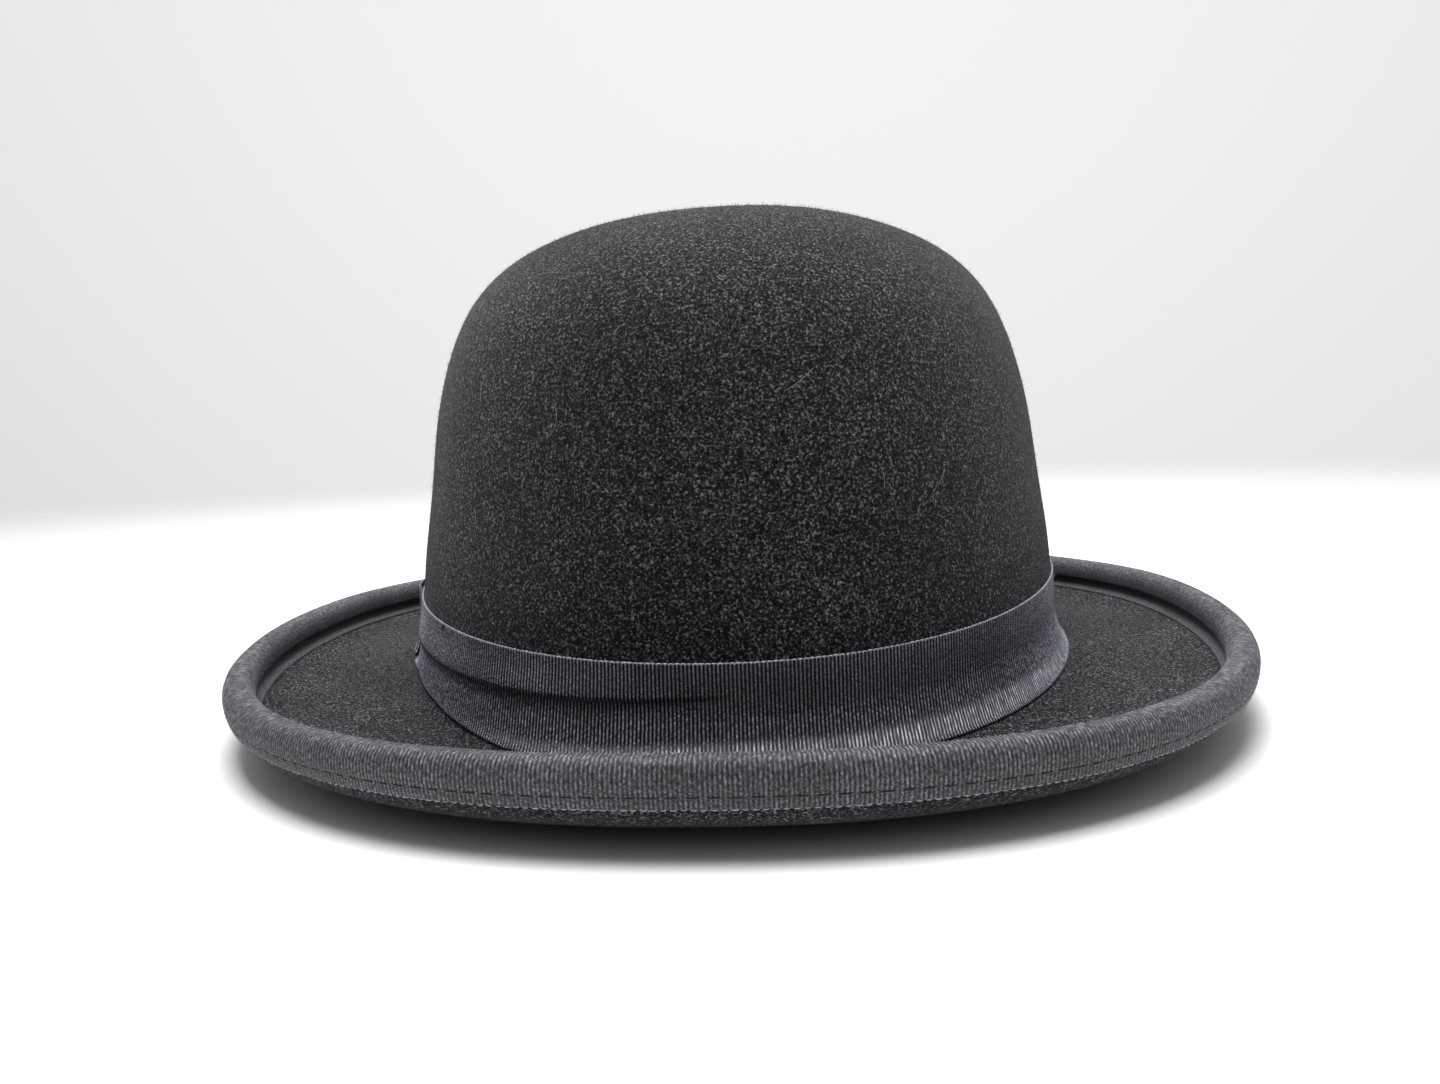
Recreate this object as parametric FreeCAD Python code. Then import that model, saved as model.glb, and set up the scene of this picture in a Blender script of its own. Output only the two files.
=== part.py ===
import FreeCAD, Part
import math
import os

# Bowler hat standing on its brim.  Millimetres, +Z up, +Y towards the hat's front,
# -X the wearer's left (the bow side).  The origin is on the ground under the middle.
#
# Every sewn or felted ring of the hat follows one head oval.  A cross-section is drawn
# in a plane of R (mean distance from the hat's middle) and Z, and each of its points
# is turned into a closed oval ring.  Up to the crown wall the oval scales with R,
# beyond it the oval grows by the same distance all round.

# ---- head oval ----
OVAL_A = 85.0            # half width of the crown at the hatband
OVAL_B = 101.0           # half length of the crown at the hatband
OVAL_R = 93.0            # mean radius that stands for that oval
OVAL_POWER = 2.13        # 2 is an ellipse, more is squarer
RIM_POWER = 2.29         # the brim's outline is a little squarer than the crown's
BRIM_SIDEWAYS = 1.015    # growth of the brim at the sides for each millimetre of R
BRIM_LENGTHWISE = 0.93   # and at front and back
RING_POINTS = 48
ARC_POINTS = 12          # points along a short piece of ring
CUT_TOLERANCE = 1e-4     # how near a cut plane an edge counts as lying in it

# ---- brim saddle: the sides ride higher than the front and the back ----
SADDLE = 7.5
SADDLE_FROM = 97.0       # mean radius where the brim starts to level out
SADDLE_TO = 134.0
SADDLE_LEFT = 0.45       # share of the saddle still there at the rim
SADDLE_SHARPER = 3.0     # at the rim the rise keeps closer to the very sides

# ---- felt shell ----
FELT = 2.3
FELT_THINNER = 0.5       # how much thinner the felt is at its raw edge
THIN_FROM_R = 117.5      # mean radius where it starts to get thinner
TOTAL_HEIGHT = 125.4
BAND_TOP = 23.6          # top edge of the hatband at front and back
CROWN_POINTS = [
    (93.0, 23.6), (92.1, 32.0), (90.6, 42.5), (88.8, 54.5), (87.1, 67.0), (84.6, 79.5),
    (80.9, 91.0), (75.2, 101.5), (67.2, 109.7), (56.5, 116.0), (44.0, 120.6),
    (29.0, 123.8), (13.0, 125.2), (2.5, TOTAL_HEIGHT),
]
BRIM_POINTS = [
    (93.0, 23.6), (93.15, 14.0), (93.8, 7.2), (95.8, 3.6), (99.3, 2.05), (104.5, 1.95),
    (111.0, 2.35), (117.5, 3.0), (123.0, 4.0), (128.0, 5.6), (131.9, 7.7), (133.9, 10.3),
    (134.35, 12.4), (133.95, 13.8), (133.3, 14.05), (132.75, 13.3), (132.65, 12.0),
    (132.7, 10.9),
]
ROLL_FROM_R = 128.0      # outside this mean radius the brim is rolled up
ROLL_RISE = 1.5          # the roll stands this much taller at front and back
ROLL_RISE_FROM = 8.0     # heights between which that rise comes in
ROLL_RISE_TO = 16.0
REST_CUT = 5.0           # depth of the block that trims the resting face flat

# ---- ribbons ----
RIBBON = 0.5             # thickness of the hatband grosgrain
BAND_WIDTH = 22.5
BAND_LIFT = 0.7          # the band bridges the hollow where crown meets brim
BINDING = 0.45
BINDING_LOW_Z = 9.95     # the binding's outer edge lies level with this height of the felt
BINDING_INNER_R = 129.8  # where the binding's inner edge lies on the brim
CLEAR = 0.04             # air left between neighbouring layers

# ---- bow on the wearer's left ----
BOW_ANGLE = 180.0        # seen from above
BOW_HALF = 22.0          # half its length, in degrees round the crown
BOW_INSET = 0.8          # the bow is this much narrower than the band on each edge
BOW_DEPTH = 2.4
BOW_FOLD = 0.6           # degrees of ribbon standing in each end fold
KNOT_HALF = 4.2
KNOT_OVERLAP = 1.0       # degrees of loop hidden under the knot
KNOT_DEPTH = 3.6
KNOT_INSET = 0.2

# ---- sweatband ----
LEATHER = 1.0
SWEAT_BOTTOM = 5.2
SWEAT_TOP = 36.0
SWEAT_OUTER = OVAL_R - FELT - 1.0
SWEAT_LEAN = 2.2         # how far its top edge leans inwards
REED_R = 0.9
TAPE = 0.3
REED_PLACE = (SWEAT_OUTER - 0.2, SWEAT_BOTTOM - REED_R - TAPE - 0.1)
BACK = 270.0             # angle of the back seam
SEAM_PATCH = (6.0, 0.35, SWEAT_BOTTOM + 3.0, 25.0)   # half angle, thickness, bottom, top
TICKET = (6.0, 0.25, SWEAT_BOTTOM + 6.0, 26.0)
TICKET_ANGLE = 246.0
BEHIND_GAP = 0.08        # air between the leather and what is tucked behind it
BEHIND_LEAN = 0.9
SMALL_BOW = (7.0, 1.0, SWEAT_BOTTOM + 4.0, SWEAT_BOTTOM + 11.0)
SMALL_KNOT = (1.3, 0.7, SWEAT_BOTTOM + 4.6, SWEAT_BOTTOM + 10.4)
SMALL_BOW_GAP = 0.35
SMALL_BOW_LEAN = 0.55

# ---- lining ----
SATIN = 0.5
LINING_GAP = FELT + 0.3
LINING_BOTTOM = 30.0
TIP_RADIUS = 70.0        # mean radius of the seam between wall and tip
TIP_HOLE = 3.5           # the tip's middle is closed flat inside this radius
PIPING_R = 0.9
SEAM_GAP = 0.3           # between the piping and each cloth

# ---- threads ----
THREAD_R = 0.22
BINDING_STITCHES = 250
BINDING_STITCH_UP = 1.4  # from the binding's outer edge to its seam
BINDING_STITCH_SHARE = 0.72
SWEAT_STITCHES = 190
SWEAT_STITCH_UP = 1.8
SWEAT_STITCH_SHARE = 0.68
BAND_TACKS = 10
BAND_TACK_FIRST = 12.0
BAND_TACK = (0.15, 1.1, 0.4)    # top and bottom along the band, slant in degrees
BOW_TACK_IN = (2.2, 2.6)        # from the band's top and bottom edges
BOW_TACK_END = 1.6              # degrees from the bow's ends
BOW_TACK_ARC = 0.7
LINING_TACKS = 16
LINING_TACK_UP = 1.5
LINING_TACK_ARC = 1.2
LINING_TACK_R = 0.15


def smooth(x):
    """Smooth step from 0 to 1."""
    x = min(max(x, 0.0), 1.0)
    return x * x * (3.0 - 2.0 * x)


def saddle(r, z, side):
    """How far a section point stands higher at a place turned this much to the side."""
    out = smooth((r - SADDLE_FROM) / (SADDLE_TO - SADDLE_FROM))
    up = min(max((z - BAND_TOP) / (TOTAL_HEIGHT - BAND_TOP), 0.0), 1.0)
    height = SADDLE * (1.0 - (1.0 - SADDLE_LEFT) * out) * (1.0 - up) ** 1.5
    return height * side ** (2.0 + SADDLE_SHARPER * out)


def roll_rise(r, z, lengthwise):
    """Extra height of the rolled rim towards front and back."""
    if r < ROLL_FROM_R:
        return 0.0
    share = smooth((z - ROLL_RISE_FROM) / (ROLL_RISE_TO - ROLL_RISE_FROM))
    return ROLL_RISE * share * lengthwise ** 4


def place(r, z, degrees):
    """Point of the hat at a section point and an angle seen from above."""
    if r <= OVAL_R:
        a = OVAL_A * r / OVAL_R
        b = OVAL_B * r / OVAL_R
    else:
        a = OVAL_A + (r - OVAL_R) * BRIM_SIDEWAYS
        b = OVAL_B + (r - OVAL_R) * BRIM_LENGTHWISE
    out = min(max((r - OVAL_R) / (SADDLE_TO - OVAL_R), 0.0), 1.0)
    power = OVAL_POWER + (RIM_POWER - OVAL_POWER) * out
    t = math.radians(degrees)
    c = math.cos(t)
    s = math.sin(t)
    rho = (abs(c / a) ** power + abs(s / b) ** power) ** (-1.0 / power)
    height = z + saddle(r, z, abs(c)) + roll_rise(r, z, abs(s))
    return FreeCAD.Vector(rho * c, rho * s, height)


def ring(point):
    """Closed oval ring through one section point."""
    r, z = point
    points = [place(r, z, 360.0 * i / RING_POINTS) for i in range(RING_POINTS)]
    curve = Part.BSplineCurve()
    steps = [float(i) for i in range(RING_POINTS + 1)]
    curve.interpolate(Points=points, PeriodicFlag=True, Parameters=steps)
    return Part.Wire([curve.toShape()])


def arc(point, start, end):
    """Open piece of an oval ring between two angles."""
    r, z = point
    step = (end - start) / ARC_POINTS
    points = [place(r, z, start + step * i) for i in range(ARC_POINTS + 1)]
    curve = Part.BSplineCurve()
    curve.interpolate(Points=points, Parameters=[float(i) for i in range(ARC_POINTS + 1)])
    return Part.Wire([curve.toShape()])


def skin(wires, strips=False):
    """Surface through a row of wires: smooth, or in narrow straight strips."""
    return Part.makeLoft(wires, False, strips or len(wires) == 2).Faces


def closed_solid(faces):
    """Sew faces into one solid."""
    sewn = Part.makeCompound(faces)
    sewn.sewShape(0.001)
    shell = sewn if sewn.ShapeType == "Shell" else sewn.Shells[0]
    solid = Part.Solid(shell)
    if solid.Volume < 0:
        solid.reverse()
    return solid


def oval_solid(sides, strips=False):
    """Ring-shaped solid from the sides of a closed section, each a list of points."""
    faces = []
    for side in sides:
        faces += skin([ring(p) for p in side], strips)
    return closed_solid(faces)


def edges_in_cut(faces, degrees):
    """Edges that lie in the upright plane through the middle at an angle."""
    t = math.radians(degrees)
    normal = FreeCAD.Vector(-math.sin(t), math.cos(t), 0.0)
    ahead = FreeCAD.Vector(math.cos(t), math.sin(t), 0.0)
    found = []
    for face in faces:
        for edge in face.Edges:
            middle = edge.valueAt(0.5 * (edge.FirstParameter + edge.LastParameter))
            points = [middle] + [v.Point for v in edge.Vertexes]
            flat = all(abs(p.dot(normal)) < CUT_TOLERANCE for p in points)
            if flat and middle.dot(ahead) > 0.0:
                found.append(edge)
    return found


def arc_solid(sides, start, end):
    """Piece of a ring between two angles, closed by a flat face at each end."""
    faces = []
    for side in sides:
        faces += skin([arc(p, start, end) for p in side])
    ends = []
    for degrees in (start, end):
        edges = edges_in_cut(faces, degrees)
        ends.append(Part.Face(Part.Wire(Part.__sortEdges__(edges))))
    return closed_solid(faces + ends)


def section_curve(points):
    """Smooth section line through points (R, Z)."""
    curve = Part.BSplineCurve()
    curve.interpolate([FreeCAD.Vector(r, z, 0.0) for r, z in points])
    return curve


CROWN = section_curve(CROWN_POINTS)
BRIM = section_curve(BRIM_POINTS)


def along(curve, start, end, count, shift=0.0):
    """Points of a section line between two lengths, moved sideways by shift.

    A positive shift goes to the left of the walking direction, which is the open air
    side of BRIM (walked outwards) and the inside of CROWN (walked upwards).
    """
    out = []
    for i in range(count + 1):
        length = start + (end - start) * i / count
        t = curve.parameterAtDistance(length, curve.FirstParameter)
        p = curve.value(t)
        d = curve.tangent(t)[0]
        move = shift(length) if callable(shift) else shift
        out.append((p.x - d.y * move, p.y + d.x * move))
    return out


def length_where(curve, wanted, count=400):
    """Length along a section line at which a test on (R, Z) first comes true."""
    total = curve.length()
    for i in range(count + 1):
        t = curve.parameterAtDistance(total * i / count, curve.FirstParameter)
        p = curve.value(t)
        if wanted(p.x, p.y):
            return total * i / count
    return total


def felt_at(length):
    """Thickness of the felt at a length along BRIM."""
    share = (length - THIN_FROM) / (BRIM_LENGTH - THIN_FROM)
    return FELT - FELT_THINNER * smooth(share)


CROWN_LENGTH = CROWN.length()
BRIM_LENGTH = BRIM.length()
THIN_FROM = length_where(BRIM, lambda r, z: r > THIN_FROM_R)
ROLL_FROM = length_where(BRIM, lambda r, z: r > ROLL_FROM_R)
BINDING_START = length_where(BRIM, lambda r, z: r > ROLL_FROM_R and z > BINDING_LOW_Z)
BINDING_INNER = length_where(BRIM, lambda r, z: r > BINDING_INNER_R)
TIP_LENGTH = length_where(CROWN, lambda r, z: r < TIP_RADIUS)


def rod(start, end, radius):
    """Straight round thread from one point to another."""
    way = end - start
    return Part.makeCylinder(radius, way.Length, start, way)


def brim_line(shift):
    """Points along the whole brim, closer together in the roll."""
    flat = along(BRIM, 0.0, ROLL_FROM, 26, shift)
    roll = along(BRIM, ROLL_FROM, BRIM_LENGTH, 26, shift)
    return flat + roll[1:]


def felt_body():
    """Crown and brim: one felt shell, its edge rolled up and over."""
    outer = along(CROWN, 0.0, CROWN_LENGTH, 22)
    inner = along(CROWN, 0.0, CROWN_LENGTH, 22, FELT)
    inner = [p for p in inner if p[0] > 3.0]
    top = brim_line(0.0)
    under = brim_line(lambda length: -felt_at(length))
    inner[0] = under[0]
    faces = skin([ring(p) for p in outer])
    faces += skin([ring(p) for p in top])
    faces += skin([ring(top[-1]), ring(under[-1])])
    faces += skin([ring(p) for p in under])
    faces += skin([ring(p) for p in inner])
    for p in (outer[-1], inner[-1]):
        faces.append(Part.makeFilledFace(ring(p).Edges))
    body = closed_solid(faces)
    size = 4.0 * OVAL_B
    corner = FreeCAD.Vector(-0.5 * size, -0.5 * size, -REST_CUT)
    return body.cut(Part.makeBox(size, size, REST_CUT, corner))


def band_lift(length):
    """Gap under the hatband: closed on the crown wall, open over the hollow."""
    start = 0.45 * BAND_WIDTH
    share = (length - start) / (BAND_WIDTH - start)
    return CLEAR + (BAND_LIFT * math.sin(math.pi * share) if share > 0.0 else 0.0)


def band_sides(start, end, low, high):
    """Closed section of a layer lying on the hatband between two depths."""
    back = along(BRIM, end, start, 10, lambda s: band_lift(s) + low)
    front = along(BRIM, start, end, 10, lambda s: band_lift(s) + high)
    return [front, [front[-1], back[0]], back, [back[-1], front[0]]]


def hatband():
    """Grosgrain ribbon round the foot of the crown, flaring onto the brim."""
    return oval_solid(band_sides(0.0, BAND_WIDTH, 0.0, RIBBON))


def bow_layer(low, high, start, end):
    """Piece of the bow between two depths and two angles."""
    sides = band_sides(BOW_INSET, BAND_WIDTH - BOW_INSET, low, high)
    return arc_solid(sides, start, end)


def side_bow_loops():
    """Flat bow: a ribbon laid in two loops, one on each side of the knot."""
    low = RIBBON + CLEAR
    high = low + BOW_DEPTH
    half = 0.5 * RIBBON
    solids = []
    for sign in (-1.0, 1.0):
        near = BOW_ANGLE + sign * (KNOT_HALF - KNOT_OVERLAP)
        far = BOW_ANGLE + sign * BOW_HALF
        start = min(near, far)
        end = max(near, far)
        upper = bow_layer(high - RIBBON, high, start, end)
        lower = bow_layer(low, low + RIBBON, start, end)
        fold = min(far, far - sign * BOW_FOLD)
        bend = bow_layer(low + half, high - half, fold, fold + BOW_FOLD)
        solids.append(upper.fuse([lower, bend]))
    return Part.makeCompound(solids)


def side_bow_knot():
    """Cross strip that gathers the middle of the bow."""
    low = RIBBON + BOW_DEPTH + 2.0 * CLEAR
    high = low + KNOT_DEPTH - BOW_DEPTH
    sides = band_sides(KNOT_INSET, BAND_WIDTH - KNOT_INSET, low, high)
    return arc_solid(sides, BOW_ANGLE - KNOT_HALF, BOW_ANGLE + KNOT_HALF)


def brim_binding():
    """Grosgrain folded over the raw edge of the roll and sewn through."""
    start, inner, end = BINDING_START, BINDING_INNER, BRIM_LENGTH
    face = along(BRIM, start, end, 26, lambda s: -felt_at(s) - CLEAR - BINDING)
    back = along(BRIM, end, start, 26, lambda s: -felt_at(s) - CLEAR)
    lining = along(BRIM, end, inner, 30, CLEAR)
    hollow = along(BRIM, inner, end, 30, CLEAR + BINDING)
    d = BRIM.tangent(BRIM.parameterAtDistance(end, BRIM.FirstParameter))[0]
    past = BINDING + CLEAR
    over = [(r + d.x * past, z + d.y * past) for r, z in (face[-1], hollow[-1])]
    raw = [(r + d.x * CLEAR, z + d.y * CLEAR) for r, z in (lining[0], back[0])]
    sides = [
        face, [face[-1], over[0]], [over[0], over[1]], [over[1], hollow[-1]],
        hollow[::-1], [hollow[0], lining[-1]], lining[::-1], [lining[0], raw[0]],
        [raw[0], raw[1]], [raw[1], back[0]], back, [back[-1], face[0]],
    ]
    return oval_solid(sides, True)


def stitches(r, z, count, share):
    """Row of separate stitches along the ring through one section point."""
    out = []
    step = 360.0 / count
    for i in range(count):
        a = place(r, z, step * i)
        b = place(r, z, step * (i + share))
        out.append(rod(a, b, THREAD_R))
    return Part.makeCompound(out)


def binding_stitches():
    """Lock stitch that holds the binding, just above its outer edge."""
    length = BINDING_START + BINDING_STITCH_UP
    shift = -felt_at(length) - 2.0 * CLEAR - BINDING - THREAD_R
    r, z = along(BRIM, length, BRIM_LENGTH, 1, shift)[0]
    return stitches(r, z, BINDING_STITCHES, BINDING_STITCH_SHARE)


def hatband_tacks():
    """Hand tacks over the top edge of the hatband."""
    shift = RIBBON + 2.0 * CLEAR + THREAD_R
    start, end, slant = BAND_TACK
    high, low = along(BRIM, start, end, 1, shift)
    step = 360.0 / BAND_TACKS
    out = []
    for i in range(BAND_TACKS):
        degrees = BAND_TACK_FIRST + step * i
        below = place(low[0], low[1], degrees)
        above = place(high[0], high[1], degrees + slant)
        out.append(rod(below, above, THREAD_R))
    return Part.makeCompound(out)


def bow_tacks():
    """Small tacks at the corners of the bow."""
    shift = RIBBON + BOW_DEPTH + 3.0 * CLEAR + THREAD_R
    out = []
    for length in (BOW_TACK_IN[0], BAND_WIDTH - BOW_TACK_IN[1]):
        r, z = along(BRIM, length, BAND_WIDTH, 1, lambda s: band_lift(s) + shift)[0]
        for sign in (-1.0, 1.0):
            degrees = BOW_ANGLE + sign * (BOW_HALF - BOW_TACK_END)
            out.append(rod(place(r, z, degrees), place(r, z, degrees + BOW_TACK_ARC), THREAD_R))
    return Part.makeCompound(out)


def upright_sides(inner, outer, low, high, lean=0.0):
    """Closed section of a nearly upright strip between two radii."""
    a = (outer, low)
    b = (outer - lean, high)
    c = (inner - lean, high)
    d = (inner, low)
    return [[a, b], [b, c], [c, d], [d, a]]


def sweatband():
    """Leather band that meets the head."""
    sides = upright_sides(SWEAT_OUTER - LEATHER, SWEAT_OUTER, SWEAT_BOTTOM, SWEAT_TOP, SWEAT_LEAN)
    return oval_solid(sides)


def tube_solid(center, inner, outer):
    """Ring whose section is a circle, hollow when inner is above zero."""
    def circle(radius):
        turns = [math.radians(30.0 * i) for i in range(13)]
        return [(center[0] + radius * math.cos(t), center[1] + radius * math.sin(t)) for t in turns]
    faces = []
    for radius in (outer, inner):
        if radius > 0.0:
            points = circle(radius)
            faces.append([points[:7], points[6:]])
    solids = [oval_solid(pair) for pair in faces]
    return solids[0] if len(solids) == 1 else solids[0].cut(solids[1])


def sweatband_reed():
    """Springy hoop at the foot of the sweatband."""
    return tube_solid(REED_PLACE, 0.0, REED_R)


def reed_tape():
    """Tape folded round the reed."""
    return tube_solid(REED_PLACE, REED_R + CLEAR, REED_R + CLEAR + TAPE)


def sweatband_stitches():
    """Stitches joining leather and tape, on the inner face above the reed."""
    r = SWEAT_OUTER - LEATHER - THREAD_R - 0.1
    return stitches(r, SWEAT_BOTTOM + SWEAT_STITCH_UP, SWEAT_STITCHES, SWEAT_STITCH_SHARE)


def behind_leather(size, degrees):
    """Flat piece tucked behind the sweatband."""
    half, thick, low, high = size
    inner = SWEAT_OUTER + BEHIND_GAP
    sides = upright_sides(inner, inner + thick, low, high, BEHIND_LEAN)
    return arc_solid(sides, degrees - half, degrees + half)


def sweatband_seam_patch():
    """Cloth patch behind the back seam of the sweatband."""
    return behind_leather(SEAM_PATCH, BACK)


def size_tag():
    """Blank folded size ticket tucked behind the sweatband at the back left."""
    return behind_leather(TICKET, TICKET_ANGLE)


def before_leather(size, gap):
    """Flat piece lying on the leather at the back seam."""
    half, thick, low, high = size
    outer = SWEAT_OUTER - LEATHER - SMALL_BOW_GAP - gap
    sides = upright_sides(outer - thick, outer, low, high, SMALL_BOW_LEAN)
    return arc_solid(sides, BACK - half, BACK + half)


def sweatband_bow():
    """Small flat bow marking the back of the hat."""
    return before_leather(SMALL_BOW, 0.0)


def sweatband_bow_knot():
    """Middle wrap of the small bow."""
    return before_leather(SMALL_KNOT, SMALL_BOW[1] + CLEAR)


def crown_layer(start, end, shift, thick, count):
    """Closed section of a cloth layer under the crown between two lengths."""
    outer = along(CROWN, start, end, count, shift)
    inner = along(CROWN, end, start, count, shift + thick)
    return outer, inner


def lining_side():
    """Satin wall of the lining, its foot tucked behind the sweatband."""
    start = length_where(CROWN, lambda r, z: z > LINING_BOTTOM)
    outer, inner = crown_layer(start, TIP_LENGTH - PIPING_R - SEAM_GAP, LINING_GAP, SATIN, 14)
    return oval_solid([outer, [outer[-1], inner[0]], inner, [inner[-1], outer[0]]])


def lining_tip():
    """Oval satin top of the lining."""
    start = TIP_LENGTH + PIPING_R + SEAM_GAP
    outer, inner = crown_layer(start, CROWN_LENGTH - TIP_HOLE, LINING_GAP, SATIN, 12)
    faces = skin([ring(p) for p in outer])
    faces += skin([ring(p) for p in inner])
    faces += skin([ring(outer[0]), ring(inner[-1])])
    faces.append(Part.makeFilledFace(ring(outer[-1]).Edges))
    faces.append(Part.makeFilledFace(ring(inner[0]).Edges))
    return closed_solid(faces)


def lining_piping():
    """Corded edge between lining wall and tip."""
    center = along(CROWN, TIP_LENGTH, CROWN_LENGTH, 1, LINING_GAP + PIPING_R)[0]
    return tube_solid(center, 0.0, PIPING_R)


def lining_tacks():
    """Tacks that catch the foot of the lining to the felt."""
    start = length_where(CROWN, lambda r, z: z > LINING_BOTTOM + LINING_TACK_UP)
    r, z = along(CROWN, start, CROWN_LENGTH, 1, LINING_GAP + SATIN + LINING_TACK_R + CLEAR)[0]
    step = 360.0 / LINING_TACKS
    out = []
    for i in range(LINING_TACKS):
        left = place(r, z, step * i)
        right = place(r, z, step * i + LINING_TACK_ARC)
        out.append(rod(left, right, LINING_TACK_R))
    return Part.makeCompound(out)


NODES = [
    felt_body, hatband, side_bow_loops, side_bow_knot, brim_binding, binding_stitches,
    hatband_tacks, bow_tacks, sweatband, sweatband_reed, reed_tape, sweatband_stitches,
    sweatband_seam_patch, sweatband_bow, sweatband_bow_knot, size_tag, lining_side,
    lining_tip, lining_piping, lining_tacks,
]

os.makedirs("parts", exist_ok=True)
for make in NODES:
    shape = make()
    print(make.__name__, shape.isValid(), round(shape.Volume, 1), len(shape.Solids))
    shape.exportStep("parts/" + make.__name__ + ".step")
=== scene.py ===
"""Bowler hat standing on its brim: felt shell, grosgrain trims, leather and satin inside."""
import math

import bpy
import numpy as np
from mathutils import Matrix, Vector


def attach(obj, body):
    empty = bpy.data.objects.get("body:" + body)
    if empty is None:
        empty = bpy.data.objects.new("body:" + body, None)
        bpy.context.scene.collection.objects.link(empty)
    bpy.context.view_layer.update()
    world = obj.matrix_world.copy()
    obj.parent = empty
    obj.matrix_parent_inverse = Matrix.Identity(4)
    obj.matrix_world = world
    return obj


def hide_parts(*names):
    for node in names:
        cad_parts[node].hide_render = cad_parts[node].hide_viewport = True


bl_info = {
    "name": "Bowler hat",
    "version": (1, 0, 0),
    "blender": (4, 5, 0),
    "location": "View3D > Sidebar > Hat",
    "description": "Dresses the bowler hat's frame with felt, ribbons, leather and satin",
    "category": "Object",
}

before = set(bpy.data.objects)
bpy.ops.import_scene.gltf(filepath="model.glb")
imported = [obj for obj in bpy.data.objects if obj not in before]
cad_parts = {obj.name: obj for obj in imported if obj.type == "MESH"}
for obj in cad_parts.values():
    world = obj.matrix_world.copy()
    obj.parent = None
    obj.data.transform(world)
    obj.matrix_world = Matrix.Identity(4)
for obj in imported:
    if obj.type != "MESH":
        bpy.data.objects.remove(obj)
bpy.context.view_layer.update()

MM = 0.001
TURN = 2.0 * math.pi

# ---- the hat's sections, the same as the solids', in millimetres of (R, Z) ----
OVAL_A = 85.0
OVAL_B = 101.0
OVAL_R = 93.0
OVAL_POWER = 2.13
RIM_POWER = 2.29
BRIM_SIDEWAYS = 1.015
BRIM_LENGTHWISE = 0.93
SADDLE = 7.5
SADDLE_FROM = 97.0
SADDLE_TO = 134.0
SADDLE_LEFT = 0.45
SADDLE_SHARPER = 3.0
FELT = 2.3
FELT_THINNER = 0.5
THIN_FROM_R = 117.5
TOTAL_HEIGHT = 125.4
BAND_TOP = 23.6
CROWN_POINTS = [
    (93.0, 23.6), (92.1, 32.0), (90.6, 42.5), (88.8, 54.5), (87.1, 67.0), (84.6, 79.5),
    (80.9, 91.0), (75.2, 101.5), (67.2, 109.7), (56.5, 116.0), (44.0, 120.6),
    (29.0, 123.8), (13.0, 125.2), (0.0, TOTAL_HEIGHT),
]
BRIM_POINTS = [
    (93.0, 23.6), (93.15, 14.0), (93.8, 7.2), (95.8, 3.6), (99.3, 2.05), (104.5, 1.95),
    (111.0, 2.35), (117.5, 3.0), (123.0, 4.0), (128.0, 5.6), (131.9, 7.7), (133.9, 10.3),
    (134.35, 12.4), (133.95, 13.8), (133.3, 14.05), (132.75, 13.3), (132.65, 12.0),
    (132.7, 10.9),
]
ROLL_FROM_R = 128.0
ROLL_RISE = 1.5
ROLL_RISE_FROM = 8.0
ROLL_RISE_TO = 16.0
BAND_WIDTH = 22.5
BAND_LIFT = 0.7
RIBBON = 0.5
BINDING = 0.45
BINDING_LOW_Z = 9.95
BINDING_INNER_R = 129.8
BINDING_STITCH_UP = 1.4
BINDING_STITCHES = 250
CLEAR = 0.04
BOW_ANGLE = 180.0
BOW_HALF = 22.0
BOW_DEPTH = 2.4
KNOT_HALF = 4.2
SWEAT_OUTER = OVAL_R - FELT - 1.0
SWEAT_BOTTOM = 5.2
SWEAT_TOP = 36.0
SWEAT_LEAN = 2.2
SWEAT_STITCHES = 190
SWEAT_STITCH_UP = 1.8
LEATHER = 1.0
REED_R = 0.9
TAPE = 0.3
BACK = 270.0
LINING_GAP = 2.6
SATIN = 0.5
TIP_RADIUS = 70.0
LINING_BOTTOM = 30.0
PIPING_R = 0.9

# ---- rings (R, Z) along which ribs, loops and stitches are counted ----
BAND_RING = (93.5, 16.0)
RIM_RING = (134.0, 12.0)
BAND_GIRTH = 588.0
RIM_GIRTH = 862.0


def smooth(x):
    """Smooth step from 0 to 1."""
    x = np.clip(x, 0.0, 1.0)
    return x * x * (3.0 - 2.0 * x)


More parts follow.
